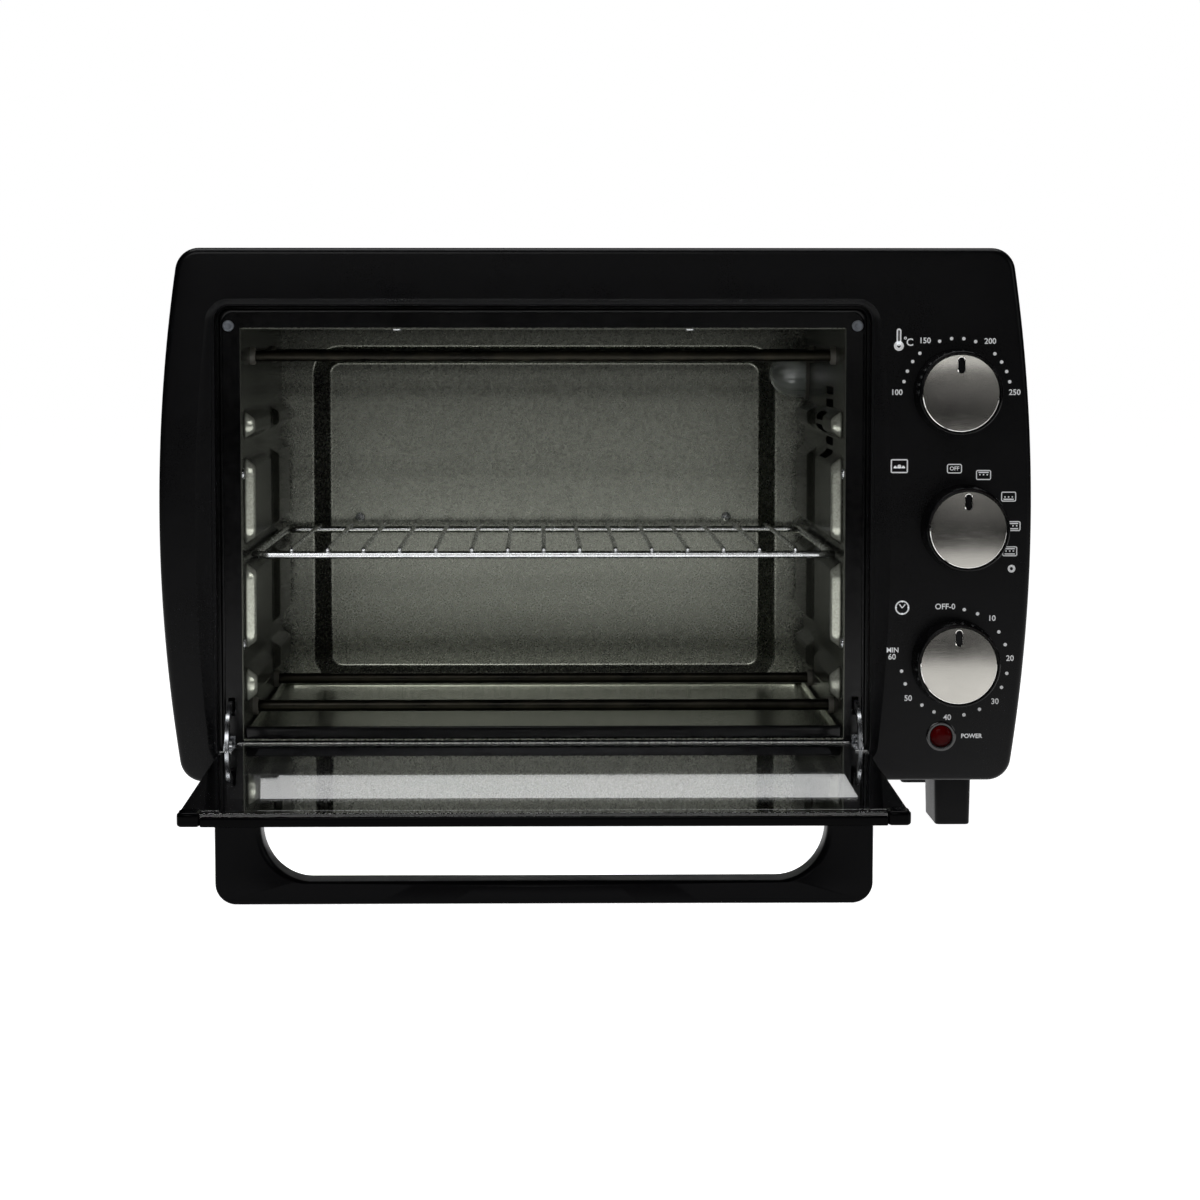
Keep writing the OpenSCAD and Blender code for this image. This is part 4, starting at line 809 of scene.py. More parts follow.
def build_handle(sizes):
    """The handle: pairs of points, one on its outer line and one on its inner, are joined by a rounded section
    twenty millimetres deep, with a broad bevel along the finger side."""
    half, top = DOOR_HALF - 18, GLASS_LOW - 2.5
    low_z = span("door_handle")[0][2]
    y0 = -DOOR_REACH + 1
    bottom = (low_z - HINGE[2] - y0 * math.sin(DROOP)) / math.cos(DROOP)
    leg, sweep, bar_t, r, deep = 22.0, 24.0, 11.0, 10.0, 20.0
    n, m = 26, 30
    gap, rise = half - leg, bottom + bar_t
    t = np.linspace(0, 1, n)
    straight = np.column_stack([np.full(n, -half), top + (bottom + r - top) * t])
    corner = arc(-half + r, bottom + r, r, math.pi, 1.5 * math.pi, n)
    base = np.column_stack([np.linspace(-half + r, 0, m), np.full(m, bottom)])
    left = np.concatenate([straight, corner, base[1:]])
    curve_n = len(straight) + len(corner)
    a = np.linspace(0, math.pi / 2, curve_n)
    inside = np.column_stack([-gap + sweep * (1 - np.cos(a)), top - (top - rise) * np.sin(a)])
    inner_base = np.column_stack([np.linspace(-gap + sweep, 0, m), np.full(m, rise)])
    inner = np.concatenate([inside, inner_base[1:]])
    outer = np.concatenate([left, (left[:-1] * [-1, 1])[::-1]])
    inner = np.concatenate([inner, (inner[:-1] * [-1, 1])[::-1]])
    across = inner - outer
    far = np.linalg.norm(across, axis=1)[:, None]
    unit = across / far

    # the section: (distance from the outer line, depth), negative distances count from the inner line
    soft, lip, at_inner = 1.1, sizes.handle_lip, -1e-6
    section = [(0, soft), (0.3, 0.35), (soft, 0), (-lip - 0.5, 0), (-lip, 0.15), (-0.8, 1.2), (-0.25, 2.0),
               (at_inner, 3.2), (at_inner, deep - 3.2), (-0.25, deep - 2.0), (-0.8, deep - 1.2), (-lip, deep - 0.15),
               (-lip - 0.5, deep), (soft, deep), (0.3, deep - 0.35), (0, deep - soft)]
    rings = []
    for d, y in section:
        p = outer + unit * d if d >= 0 else inner + unit * d
        rings.append(np.column_stack([p[:, 0], np.full(len(p), y0 + y), p[:, 1]]))
    grid = np.array(rings).transpose(1, 0, 2)
    new_piece("handle", [moved(closed(grid), on_door)], "door_handle", sharp=30)


def build_arms():
    """The stay arms, brackets, pins and the handle's screws, softened."""
    for node in ("left_stay_arm", "right_stay_arm", "left_hinge_bracket", "right_hinge_bracket"):
        softened_node(node, 0.25, 2)
    softened_node("hinge_pins", 0.2, 2)
    softened_node("handle_screws", 0.3, 2)


def screw_head(axis, place, way, r=3.0, h=1.4, shank=0.0, shank_r=1.5):
    """A screw's head: a dome over a circle whose height falls with the square of the radius, less a cross-shaped
    recess that deepens smoothly towards both its slots' middles."""
    n, m = 14, 48
    k = np.linspace(0, 1, n)[:, None]
    a = (np.arange(m) * 2 * math.pi / m)[None, :]
    u, v = r * k * np.cos(a), r * k * np.sin(a)
    height = h * (1 - 0.45 * k ** 2) * np.ones_like(u)
    height[-1] = h * 0.35
    arm = np.minimum(np.abs(u), np.abs(v))
    dent = np.clip(1.6 - arm / (0.16 * r), 0, 1) * np.clip(3.2 - 4.6 * k, 0, 1)
    height = height - 0.62 * h * dent
    u[0], v[0] = 0.001 * np.cos(a), 0.001 * np.sin(a)
    foot = np.stack([r * np.cos(a[0]), r * np.sin(a[0]), np.zeros(m)], -1)
    rows = [np.stack([u, v, height], -1), foot[None]]
    if shank:
        neck = foot * [shank_r / r, shank_r / r, 1]
        rows += [neck[None], (neck - [0, 0, shank])[None]]
    points = np.concatenate(rows)
    u, v, h = points[..., 0], points[..., 1], points[..., 2] * way
    order = {"x": (h, u, v), "y": (v, h, u), "z": (u, v, h)}[axis]
    return closed(np.stack(order, -1) + np.asarray(place, float))


def build_screws():
    """Every screw that shows, each with a domed head and a cross recess."""
    y = RECESS_D + 6
    side_z = (CAVITY_LOW + 52, CAVITY_HIGH - 79)
    heads = [screw_head("x", (s * CAVITY_HALF, y, z), -s, shank=6) for s in (-1, 1) for z in side_z]
    heads += [screw_head("z", (x, y, CAVITY_HIGH), -1, shank=6) for x in (-80, 80)]
    heads += [screw_head("y", (s * BACK_SCREW_X, CAVITY_BACK + PRESS_DEPTH, BACK_SCREW_Z), -1, shank=6)
              for s in (-1, 1)]
    new_piece("cavity_screw_heads", [moved(h, in_cavity) for h in heads], "cavity_screws", sharp=40)
    rear = span("rear_panel")[1][1]
    sx, up = WIDTH / 2 - 30, (TOP - BASE) / 2 - 14
    new_piece("panel_screw_heads", [screw_head("y", (x, rear, MID_Z + z), 1, shank=6) for x in (-sx, 0, sx)
                                    for z in (-up, up)], "panel_screws", sharp=40)
    high = span("foot_screws")[1]
    feet = [span("front_feet"), span("rear_feet")]
    seat = high[2] - 1.4
    places = [(s * (high[0] - 3), (f[0][1] + f[1][1]) / 2) for s in (-1, 1) for f in feet]
    new_piece("foot_screw_heads", [screw_head("z", (x, fy, seat), 1, shank=6) for x, fy in places], "foot_screws",
              sharp=40)


# ---------- Cavity ----------


def plateau(value, low, high, slope):
    """A rounded step up at low and down at high: a smooth ramp of the given width just inside each."""
    up = np.clip((value - low) / slope, 0, 1)
    down = np.clip((high - value) / slope, 0, 1)
    k = np.minimum(up, down)
    return k * k * (3 - 2 * k)


def bored(piece, cutters):
    """Cuts closed cutter parts out of a piece and keeps the result as its mesh."""
    tool = placed("cutter", mesh_of("cutter", cutters))
    cut = piece.modifiers.new("Holes", "BOOLEAN")
    cut.operation, cut.object, cut.solver = "DIFFERENCE", tool, "EXACT"
    bpy.context.view_layer.update()
    mesh = bpy.data.meshes.new_from_object(piece.evaluated_get(bpy.context.evaluated_depsgraph_get()))
    piece.modifiers.remove(cut)
    old, piece.data = piece.data, mesh
    bpy.data.meshes.remove(old)
    bpy.data.objects.remove(tool)
    smooth_mesh(mesh, SHARP)


def grid_steps(*runs):
    """The places of a grid's lines along one direction: several runs of even steps, merged and sorted."""
    return np.unique(np.round(np.concatenate([np.linspace(*run) for run in runs]), 3))


def pressed_sheet(u, v, height, thick, order):
    """A pressed sheet: a grid over two directions whose height is the press, and a second one a sheet's thickness
    behind, joined round the edge. The order turns (height, u, v) into place."""
    uu, vv = np.meshgrid(u, v, indexing="ij")
    h = height(uu, vv)
    face, back = order(h, uu, vv), order(h - thick, uu, vv)
    n, m = len(u), len(v)
    front_v, front_f = net(face, cols=False)
    back_v, back_f = net(back, cols=False)
    k = n * m
    rim = np.concatenate([np.arange(m), np.arange(1, n) * m + m - 1, (n - 1) * m + np.arange(m - 2, -1, -1),
                          np.arange(n - 2, 0, -1) * m])
    nxt = np.roll(rim, -1)
    walls = np.stack([rim, nxt, nxt + k, rim + k], -1).tolist()
    return np.concatenate([front_v, back_v]), front_f + [[i + k for i in f[::-1]] for f in back_f] + walls


def build_side_wall(side):
    """A cavity side: four pressed pads with round shoulders between the rack grooves, bored for the elements,
    the lamp and the row of vent slots."""
    groove, first, last = 8.0, CAVITY_LOW + 43, CAVITY_HIGH - 65.4
    guides = [first, (first + last) / 2, last]
    lower = CAVITY_LOW + 12 + 5 + 0.6
    upper = CAVITY_HIGH - 27 - 16.5 - 0.6
    edges = [lower] + [z + s * groove / 2 for z in guides for s in (-1, 1)] + [upper]
    y = grid_steps((RECESS_D, CAVITY_BACK, 90), (RECESS_D + 11, RECESS_D + 22, 12),
                   (CAVITY_BACK - 22, CAVITY_BACK - 11, 12))
    z = grid_steps((CAVITY_LOW, CAVITY_HIGH, 120), *[(e - 6, e + 6, 13) for e in edges])

    def press(yy, zz):
        # a pad is a rounded rectangle: the inside distance to its outline, eased over its shoulder
        y0, y1, rise = RECESS_D + 12, CAVITY_BACK - 12, 0
        for z0, z1 in zip(edges[::2], edges[1::2]):
            r = min(9.0, (z1 - z0) / 2 - 1)
            dy = np.abs(yy - (y0 + y1) / 2) - ((y1 - y0) / 2 - r)
            dz = np.abs(zz - (z0 + z1) / 2) - ((z1 - z0) / 2 - r)
            inside = r - np.hypot(np.maximum(dy, 0), np.maximum(dz, 0)) - np.minimum(np.maximum(dy, dz), 0)
            k = np.clip(inside / 6.0, 0, 1)
            rise = np.maximum(rise, k * k * (3 - 2 * k))
        return PAD_RISE * rise * (1 - 0.6 * plateau(yy, 136, 196, 8.0))

    def order(h, yy, zz):
        return np.stack([side * (CAVITY_HALF - h), yy, zz], -1)

    node = "cavity_left_wall" if side < 0 else "cavity_right_wall"
    # the side walls take the darkened copy of the cavity steel, a painted shade
    wall = new_piece(node + "_pressed", [moved(pressed_sheet(y, z, press, SHEET, order), in_cavity)], node,
                     finish="shaded_side_steel")

    x0, x1 = sorted((side * (CAVITY_HALF - 8), side * (CAVITY_HALF + 3)))

    def hole(yy, zz, r, steps=28):
        return moved(turned("x", (0, yy, zz), [(r, x0), (r, x1)], steps), in_cavity)

    def vent(zz):
        section = rounded_section(VENT_START, VENT_END, zz - VENT_HALF, zz + VENT_HALF, 1.6)
        return moved(profile_along(x0, x1, section, 0.3), in_cavity)

    cuts = [hole(yy, zz, 5.1) for yy in ELEMENT_Y for zz in ELEMENT_Z]
    if side > 0:
        cuts.append(hole(LAMP_Y, LAMP_Z, 12.1, 48))
        cuts += [vent(VENT_TOP - VENT_STEP * k) for k in range(VENT_COUNT)]
    bored(wall, cuts)


def build_back_wall():
    """The back wall: a panel pressed eight millimetres back, whose edge is a rounded rectangle. The press grows
    with the distance inside that outline: a parabola, a straight slope and a parabola that meet without a corner."""
    half_x, half_z, middle, mid = 146.5, 107.0, 1.0, 160.6
    x = grid_steps((-CAVITY_HALF, CAVITY_HALF, 70),
                   *[(middle + s * (half_x - 18), middle + s * (half_x + 2), 50) for s in (-1, 1)])
    z = grid_steps((CAVITY_LOW, CAVITY_HIGH, 50), *[(mid + s * (half_z - 18), mid + s * (half_z + 2), 50)
                                                    for s in (-1, 1)])

    def press(xx, zz):
        r, w = 18.0, 0.12
        dx, dz = np.abs(xx - middle) - (half_x - r), np.abs(zz - mid) - (half_z - r)
        outside = np.hypot(np.maximum(dx, 0), np.maximum(dz, 0)) + np.minimum(np.maximum(dx, dz), 0) - r
        k = np.clip(-outside / 12.0, 0, 1)
        curve = 2 * w * (1 - w)
        return -PRESS_DEPTH * np.where(k < w, k * k / curve,
                                       np.where(k > 1 - w, 1 - (1 - k) ** 2 / curve, (k - w / 2) / (1 - w)))

    def order(h, xx, zz):
        return np.stack([xx, CAVITY_BACK - h, zz], -1)

    wall = new_piece("back_wall_pressed", [moved(pressed_sheet(x, z, press, SHEET, order), in_cavity)],
                     "cavity_back_wall", sharp=50)
    bore = [(1.6, CAVITY_BACK - 2), (1.6, CAVITY_BACK + 12)]
    bored(wall, [moved(turned("y", (s * BACK_SCREW_X, 0, BACK_SCREW_Z), bore, 20), in_cavity) for s in (-1, 1)])


def build_floor():
    """Ceiling and floor of the cavity, softened."""
    softened_node("cavity_ceiling", 0.1, 2)
    softened_node("cavity_floor", 0.1, 2)


# ---------- Elements and lamp ----------


def build_elements():
    """Sheathed elements: a round sheath that swells by a few hundredths along its length, crimped at its ends, with
    terminal pins, each in a stepped ceramic insulator."""
    half, tail, r = CAVITY_HALF, 16.0, 3.3
    sleeves = []
    rows = [(f"{level}_{row}", y, z) for level, z in zip(("lower", "upper"), ELEMENT_Z)
            for row, y in zip(("front", "rear"), ELEMENT_Y)]
    for name, y, z in rows:
        x = np.linspace(-half - tail + 6, half + tail - 6, 160)
        sheath = r - 0.06 + 0.05 * np.sin(x * 0.35) * np.cos(x * 0.09)
        profile = [(1.2, -half - tail), (1.4, -half - tail + 0.3), (1.4, x[0] - 1.0), (2.7, x[0] - 0.8)]
        profile += np.column_stack([sheath, x]).tolist()
        profile += [(2.7, x[-1] + 0.8), (1.4, x[-1] + 1.0), (1.4, half + tail - 0.3), (1.2, half + tail)]
        new_piece(name + "_sheath", [moved(turned("x", (0, y, z), profile, 24), in_cavity)], name + "_element",
                  sharp=40)
        for side in (-1, 1):
            ring = [(3.45, -3), (4.4, -3), (4.8, -2.7), (5, -2.3), (5, 6), (4.6, 6), (4.1, 6), (3.9, 5.8),
                    (3.45, 5.6)]
            points = ring_about("x", (0, y, z), ring, 32)
            points[..., 0] = side * (half + points[..., 0])
            sleeves.append(moved(net(points, rows=True), in_cavity))
    new_piece("insulator_sleeves", sleeves, "element_insulators", sharp=40)


def build_lamp():
    """The oven lamp: a ceramic cup with a round flange, a ribbed glass dome whose radius waves round its axis, and
    a pear-shaped bulb."""
    y, z, half = LAMP_Y, LAMP_Z, CAVITY_HALF

    def inward(profile, steps=64, close=True):
        points = ring_about("x", (0, y, z), profile, steps)
        points[..., 0] = half - points[..., 0]
        return moved(net(points, rows=True) if close else closed(points), in_cavity)

    cup = [(15.0, 2), (15.9, 1.9), (16.4, 1.4), (16.5, 0), (12, 0), (12, -25.5), (11.5, -26), (0.01, -26),
           (0.01, -24), (10, -24), (10, 1.8), (10.3, 2)]
    new_piece("lamp_cup", [inward(cup)], "lamp_holder", sharp=40)
    t = np.linspace(0, math.pi / 2 - 0.02, 14)
    r, wall, thick = 14.75, 7.0, 1.5
    out = [(r, 2.05), (r, 4)] + [(r * math.cos(a), 2 + wall + r * math.sin(a)) for a in t]
    into = [((r - thick) * math.cos(a), 2 + wall + (r - thick) * math.sin(a)) for a in t[::-1]] + [(r - thick, 2.05)]
    profile = np.array(out + into)
    points = ring_about("x", (0, y, z), profile, 144)
    a = np.arange(144) * 2 * math.pi / 144
    ripple = 1 + 0.016 * np.cos(a * 18)
    ripple = np.where(np.arange(len(profile))[:, None] < len(out), ripple[None, :], 1.0)
    points[..., 1] = y + (points[..., 1] - y) * ripple
    points[..., 2] = z + (points[..., 2] - z) * ripple
    points[..., 0] = half - points[..., 0]
    new_piece("lamp_dome", [moved(net(points, rows=True), in_cavity)], "lamp_glass", sharp=60)
    t = np.linspace(math.pi / 2 - 0.05, -0.95, 16)
    bulb = [(8 * math.cos(a), 10 + 8 * math.sin(a)) for a in t] + [(5.2, 2.2), (6.4, 0), (6.4, -23.6), (6.0, -24)]
    new_piece("lamp_bulb_glass", [inward(bulb, 48, close=False)], "lamp_bulb", sharp=50)


# ---------- Rack and tray ----------


def build_rack():
    """The rack: one wire bent round a rectangle with round corners, and rungs with domed ends."""
    low, high = span("wire_rack")
    low, high = low - [DOOR_X, FRONT, 0], high - [DOOR_X, FRONT, 0]
    r, rung = 2.1, 1.25
    z = low[2] + 2.25
    y0, y1 = RECESS_D + 30, CAVITY_BACK - 14
    side_x = CAVITY_HALF - 1.2 - r
    loop = rounded_loop(2 * side_x, y1 - y0, 10, 30, 10, 40, (0, (y0 + y1) / 2))
    parts = [tube(np.column_stack([loop, np.full(len(loop), z)]), r, 16, close=True)]
    top = high[2] - rung
    count = int((CAVITY_HALF - 1.2 - 12) // 20)
    for i in range(-count, count + 1):
        y = np.concatenate([[y0 - 2.2, y0 - 2.0, y0 - 1.6], np.linspace(y0 - 1, y1 + 1, 24),
                            [y1 + 1.6, y1 + 2.0, y1 + 2.2]])
        thick = np.concatenate([[0.3, 0.8, 1.1], np.full(24, rung), [1.1, 0.8, 0.3]])
        parts.append(tube(np.column_stack([np.full(len(y), i * 20.0), y, np.full(len(y), top)]), thick, 12))
    new_piece("rack_wires", [moved(p, in_cavity) for p in parts], "wire_rack", sharp=50)


def build_tray():
    """The crumb tray: its section runs from the middle of the floor up a rounded corner to a rolled rim and back
    underneath; the front strip is a rounded bar."""
    z0, z1 = CAVITY_LOW + 0.3, CAVITY_LOW + 5.3
    y0, y1, half = RECESS_D + 3, CAVITY_BACK - 5, CAVITY_HALF - 1.2
    middle = (0, (y0 + y1) / 2)

    def ring(inset, z):
        loop = rounded_loop(2 * (half - inset), y1 - y0 - 2 * inset, max(6 - inset, 0.6), 20, 8, 24, middle)
        return np.column_stack([loop, np.full(len(loop), z)])

    section = ((60, z0), (30, z0), (1.6, z0), (0.5, z0 + 0.4), (0.1, z0 + 1.2), (0, z1 - 0.8), (0.05, z1 - 0.2),
               (0.4, z1), (1.0, z1), (1.3, z1 - 0.3), (1.2, z1 - 0.7), (0.65, z1 - 0.9), (0.7, z0 + 1.6),
               (1.2, z0 + 0.8), (2.2, z0 + 0.6), (30, z0 + 0.6), (60, z0 + 0.6))
    rows = np.array([ring(inset, z) for inset, z in section])
    new_piece("crumb_pan", [moved(closed(rows), in_cavity)], "crumb_tray", sharp=40)
    low, high = span("crumb_tray_front")
    section = rounded_section(low[1], high[1], low[2], high[2], 0.8)
    new_piece("tray_strip", [profile_along(low[0], high[0], section)], "crumb_tray_front", sharp=40)


# ---------- Hardware ----------


def build_feet():
    """Feet with a slight taper, soft edges and a recessed sole: rings of a rounded rectangle that grows upwards."""
    for node in ("front_feet", "rear_feet"):
        low, high = span(node)
        w = 20.5
        parts = []
        for side in (-1, 1):
            x = side * (high[0] - w / 2)
            y, l = (low[1] + high[1]) / 2, high[1] - low[1]
            rows = []
            for inset, z in ((4.2, 1.2), (3.6, 1.2), (3.4, 0.2), (3.0, 0.0), (1.5, 0.0), (0.9, 0.25), (0.62, 0.9),
                             (0.3, 14.0), (0.0, high[2] - 0.8), (0.15, high[2] - 0.2), (0.5, high[2]),
                             (4.2, high[2])):
                loop = rounded_loop(w - 2 * inset, l - 2 * inset, max(3.4 - inset, 0.4), 6, 6, 3, (x, y))
                rows.append(np.column_stack([loop, np.full(len(loop), z)]))
            parts.append(closed(np.array(rows)))
        new_piece(node + "_moulded", parts, node, sharp=35)


def build_springs():
    """The door springs: a wire on a helix about the spring's line, with a straight run at each end, the front one
    towards the stay arm that it hooks."""
    start, end = np.array([0, RECESS_D + 12, RECESS_LOW + 24.5]), np.array([0, 110.35, BASE + 12])
    run = (end - start) / np.linalg.norm(end - start)
    length = float(np.linalg.norm(end - start))
    up = np.array([0, -run[2], run[1]])
    coil_start, coil_length, coil_r, pitch, wire_r = 16, length - 25, 2.75, 1.55, 0.66
    coil = np.linspace(0, 1, 900)
    turns = coil_length / pitch
    a = coil * turns * 2 * math.pi
    s = coil_start + coil * coil_length
    round_it = np.cos(a)[:, None] * up + np.sin(a)[:, None] * np.array([1.0, 0, 0])
    helix = start + s[:, None] * run + coil_r * round_it
    lead = start + np.linspace(0, 14.0, 12)[:, None] * run
    tail = start + np.linspace(length - 7.0, length + 2.4, 10)[:, None] * run
    path = np.concatenate([lead, helix, tail])
    for side, node in ((-1, "left_door_spring"), (1, "right_door_spring")):
        offset = [side * STAY_X, 0, 0]
        shape = [moved(tube(path + offset, wire_r, 8), in_cavity)]
        spring = placed(node + "_coil", mesh_of(node + "_coil", shape, 60))
        spring.data.materials.append(finishes[NODE_SLOT[node]])
        near, far = (in_cavity(start + d * run + offset) * 0.001 for d in (15.0, 3.0))
        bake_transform(spring)
        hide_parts(node)


def build_fixings():
    """Bumpers with domed ends, the gland with ribs, and the controls behind the panel."""
    low, high = span("door_bumpers")
    bumpers = []
    for side in (-1, 1):
        x = DOOR_X + side * STAY_X
        z = (low[2] + high[2]) / 2
        profile = [(0.02, low[1] + 0.9), (1.0, low[1] + 0.85), (1.4, low[1] + 0.3), (1.9, low[1] + 0.02),
                   (2.4, low[1]), (2.85, low[1] + 0.35), (3, low[1] + 0.9), (3, high[1] - 0.2)]
        bumpers.append(turned("y", (x, 0, z), profile, 40))
    new_piece("bumper_pads", bumpers, "door_bumpers", sharp=50)
    low, high = span("cord_gland")
    x, z, y0, y1 = (low[0] + high[0]) / 2, (low[2] + high[2]) / 2, low[1], high[1]
    rear = y1 - 7
    profile = [(3.6, y0), (5.6, y0), (6, y0 + 0.4), (6, rear), (8.6, rear), (9, rear + 0.4), (9, rear + 2.4),
               (8.5, rear + 3), (6, rear + 3.1), (5.2, rear + 3.4), (5.9, rear + 3.9), (5.2, rear + 4.4),
               (5.9, rear + 4.9), (5.1, rear + 5.4), (5.7, rear + 5.9), (5.2, y1 - 0.3), (4.9, y1), (3.6, y1)]
    new_piece("gland_ribs", [hollow("y", (x, 0, z), profile, 48)], "cord_gland", sharp=40)
    for node in ("thermostat", "function_switch", "timer", "terminal_block"):
        softened_node(node, 0.8, 3)
    low, high = span("timer_bell")
    x, z = KNOBS[2][1]
    dome = ((3, 7), (3, 8), (14, 8), (18.2, 6.8), (19.7, 4.2), (20, 0), (19.2, 0), (18.8, 4), (17.6, 6), (14, 7))
    profile = [(r, low[1] + deep) for r, deep in dome]
    new_piece("bell_dome", [hollow("y", (x, 0, z), profile, 64)], "timer_bell", sharp=40)


# ---------- Operators ----------


def millimetres(name, description, default, low, high):
    """A size that a user may set."""
    return bpy.props.FloatProperty(name=name, description=description + " in mm", default=default, min=low, max=high,
                                   unit="NONE")


def colour(name, description, default):
    """A colour that a user may set."""
    return bpy.props.FloatVectorProperty(name=name, description="Colour of " + description, subtype="COLOR", size=3,
                                         default=default)


class OvenSizes(bpy.types.PropertyGroup):
    """Sizes of the finish that a user may change."""

    edge_radius: millimetres("Fascia edge radius", "Radius of the fascia's front edge", 3.6, 1, 6)
    band_width: millimetres("Recess band", "Width of the sloped band round the recess", 3.6, 2, 5)
    face_crown: millimetres("Knob face crown", "How far a knob's face falls towards its rim", 0.7, 0, 1)
    rim_width: millimetres("Knob rim", "Width of the polished rim of a knob's face", 1.1, 0.4, 2)
    number_height: millimetres("Number size", "Type size of the dial numbers", 4.3, 3, 6)
    print_side: millimetres("Side border", "Width of the printed border at the door's sides", 20, 5, 40)
    print_front: millimetres("Front border", "Width of the printed border at the free edge", 48, 15, 60)
    print_back: millimetres("Back border", "Width of the printed border at the hinge", 14, 5, 50)
    handle_lip: millimetres("Handle bevel", "Width of the bevel on the handle's finger side", 2.6, 1, 4)


class OvenColours(bpy.types.PropertyGroup):
    """Colours that a user may change."""

    fascia: colour("Fascia", "the moulded black parts", (0.0024, 0.0024, 0.003))
    enamel: colour("Enamel", "the front frame", (0.003, 0.003, 0.0034))
    print: colour("Print", "the dial markings", (0.82, 0.84, 0.86))
    steel: colour("Cavity steel", "the oven's inside", (0.33, 0.34, 0.292))
    knob_metal: colour("Knob metal", "the knobs' metal faces", (0.4, 0.387, 0.357))


def make_stage():
    """A pale floor whose patch under the oven shows in its gloss, five soft lights and the camera."""
    tree, body, place = new_finish("studio_paper", {"Roughness": 0.9, "Emission Color": (1, 1, 1, 1),
                                                    "Emission Strength": 1.0})
    soft = grain(tree, place, 3, (1, 1, 1), 3)
    tree.links.new(tinted(tree, soft, (0.8, 0.8, 0.8), (0.84, 0.84, 0.84)), body.inputs["Base Color"])

    def paper(name, x, y, glossy):
        corners = np.array([[[x[0], y[0], 0], [x[1], y[0], 0]], [[x[0], y[1], 0], [x[1], y[1], 0]]], float)
        sheet = placed(name, mesh_of(name, [net(corners, cols=False)], recalc=False))
        sheet.data.materials.append(finishes["studio_paper"])
        sheet.visible_glossy = glossy
        sheet.visible_diffuse = False

    far, side, front, back = 9000, 1500, -1250, 900
    paper("floor_patch", (-side, side), (front, back), True)
    paper("floor_front", (-far, far), (-far, front), False)
    paper("floor_back", (-far, far), (back, far), False)
    paper("floor_left", (-far, -side), (front, back), False)
    paper("floor_right", (side, far), (front, back), False)

    def softbox(name, place, target, width, height, watts):
        lamp = bpy.data.lights.new(name, "AREA")
        lamp.shape, lamp.size, lamp.size_y, lamp.energy = "RECTANGLE", width, height, watts
        light = placed(name, lamp)
        light.location = place
        light.rotation_euler = (Vector(target) - Vector(place)).to_track_quat("-Z", "Y").to_euler()

    softbox("top_light", (0.0, 0.1, 1.4), (0, 0, 0.2), 1.4, 0.6, 12)
    softbox("front_light", (-0.5, -2.2, 1.5), (0, 0.1, 0.15), 1.2, 0.7, 11)
    softbox("strip_light", (0.1, -2.8, 0.545), (0.1, 0, 0.25), 1.9, 0.12, 1.7)
    softbox("room_light", (0.9, -3.2, 0.26), (0.2, 0, 0.25), 1.4, 0.36, 0.3)
    softbox("side_light", (2.1, -1.2, 0.9), (0, 0, 0.15), 0.5, 0.9, 5)
    scene = bpy.context.scene
    world = scene.world = bpy.data.worlds.new("studio")
    world.use_nodes = True
    world.node_tree.nodes["Background"].inputs[0].default_value = (1, 1, 1, 1)
    world.node_tree.nodes["Background"].inputs[1].default_value = 1.0
    world.cycles_visibility.diffuse = False
    world.cycles_visibility.glossy = False
    scene.view_settings.view_transform = "Standard"
    lens = bpy.data.cameras.new("camera")
    lens.sensor_width, lens.lens = 36.0, 99.63
    camera = placed("camera", lens)
    camera.location = (-0.030, -1.84525, 0.274)
    camera.rotation_euler = (math.radians(90 - 4.56), 0, math.radians(-1.02))
    scene.camera = camera


class OVEN_OT_stage(bpy.types.Operator):
    """Camera, soft lights and a pale floor"""

    bl_idname = "oven.stage"
    bl_label = "Stage"

    def execute(self, context):
        make_stage()
        return {"FINISHED"}


class OVEN_OT_finishes(bpy.types.Operator):
    """Every finish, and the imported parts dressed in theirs"""

    bl_idname = "oven.finishes"
    bl_label = "Finishes"

    def execute(self, context):
        make_finishes(context.scene.oven_colours)
        for node, slot in NODE_SLOT.items():
            mesh = frame["nodes"][node].data
            mesh.materials.clear()
            mesh.materials.append(finishes[slot])
        return {"FINISHED"}


class OVEN_OT_shell(bpy.types.Operator):
    """Fascia, front frame, cover, rear panel and base"""

    bl_idname = "oven.shell"
    bl_label = "Shell"

    def execute(self, context):
        build_bezel(context.scene.oven_sizes)
        build_frame()
        build_cover()
        return {"FINISHED"}


class OVEN_OT_knobs(bpy.types.Operator):
    """Three knobs with spun metal faces, and their shafts"""

    bl_idname = "oven.knobs"
    bl_label = "Knobs"

    def execute(self, context):
        for part, place in KNOBS:
            build_knob(part, place, context.scene.oven_sizes)
        return {"FINISHED"}


class OVEN_OT_dials(bpy.types.Operator):
    """Dial markings and the indicator"""

    bl_idname = "oven.dials"
    bl_label = "Dial markings and indicator"

    def execute(self, context):
        build_dials(context.scene.oven_sizes)
        build_indicator()
        return {"FINISHED"}


class OVEN_OT_door(bpy.types.Operator):
    """Glass, rails, handle and stay arms"""

    bl_idname = "oven.door"
    bl_label = "Door"

    def execute(self, context):
        build_glass(context.scene.oven_sizes)
        build_rails()
        build_handle(context.scene.oven_sizes)
        build_arms()
        return {"FINISHED"}


class OVEN_OT_cavity(bpy.types.Operator):
    """Pressed side walls, back wall, floor and ceiling"""

    bl_idname = "oven.cavity"
    bl_label = "Cavity"

    def execute(self, context):
        build_side_wall(-1)
        build_side_wall(1)
        build_back_wall()
        build_floor()
        return {"FINISHED"}


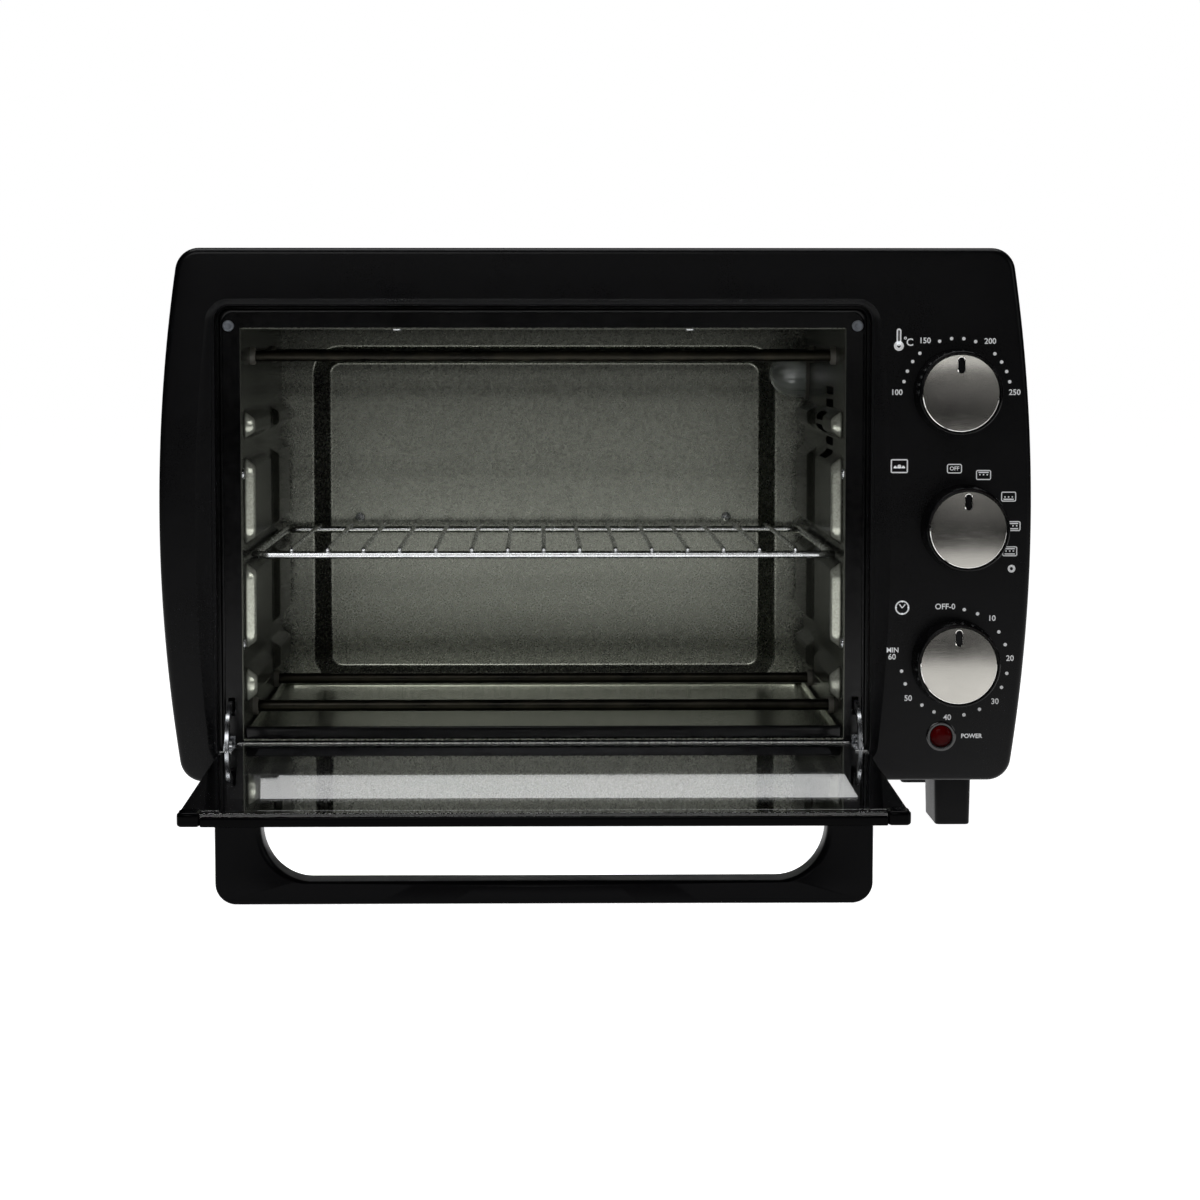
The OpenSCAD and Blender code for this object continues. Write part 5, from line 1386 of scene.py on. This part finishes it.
class OVEN_OT_heating(bpy.types.Operator):
    """Heating elements, insulators and the oven lamp"""

    bl_idname = "oven.heating"
    bl_label = "Elements and lamp"

    def execute(self, context):
        build_elements()
        build_lamp()
        return {"FINISHED"}


class OVEN_OT_rack(bpy.types.Operator):
    """Wire rack and crumb tray"""

    bl_idname = "oven.rack"
    bl_label = "Rack and tray"

    def execute(self, context):
        build_rack()
        build_tray()
        return {"FINISHED"}


class OVEN_OT_hardware(bpy.types.Operator):
    """Screws, feet, springs, bumpers, gland and controls"""

    bl_idname = "oven.hardware"
    bl_label = "Hardware"

    def execute(self, context):
        for build in (build_screws, build_feet, build_springs, build_fixings):
            build()
        return {"FINISHED"}


OPERATORS = [OVEN_OT_stage, OVEN_OT_finishes, OVEN_OT_shell, OVEN_OT_knobs, OVEN_OT_dials, OVEN_OT_door,
             OVEN_OT_cavity, OVEN_OT_heating, OVEN_OT_rack, OVEN_OT_hardware]


class OVEN_PT_panel(bpy.types.Panel):
    """The oven's pieces and their settings"""

    bl_label = "Toaster oven"
    bl_idname = "OVEN_PT_panel"
    bl_space_type = "VIEW_3D"
    bl_region_type = "UI"
    bl_category = "Oven"

    def draw(self, context):
        for group in (context.scene.oven_sizes, context.scene.oven_colours):
            for key in group.bl_rna.properties.keys():
                if key not in ("rna_type", "name"):
                    self.layout.prop(group, key)
        for operator in OPERATORS:
            self.layout.operator(operator.bl_idname)


CLASSES = [OvenSizes, OvenColours] + OPERATORS + [OVEN_PT_panel]


def register():
    """Adds the settings, the operators and the panel."""
    for item in CLASSES:
        bpy.utils.register_class(item)
    bpy.types.Scene.oven_sizes = bpy.props.PointerProperty(type=OvenSizes)
    bpy.types.Scene.oven_colours = bpy.props.PointerProperty(type=OvenColours)


def unregister():
    """Takes them away again."""
    del bpy.types.Scene.oven_sizes
    del bpy.types.Scene.oven_colours
    for item in reversed(CLASSES):
        bpy.utils.unregister_class(item)


def main():
    register()
    for operator in OPERATORS:
        getattr(bpy.ops.oven, operator.bl_idname.split(".")[1])()


if __name__ == "__main__":
    main()
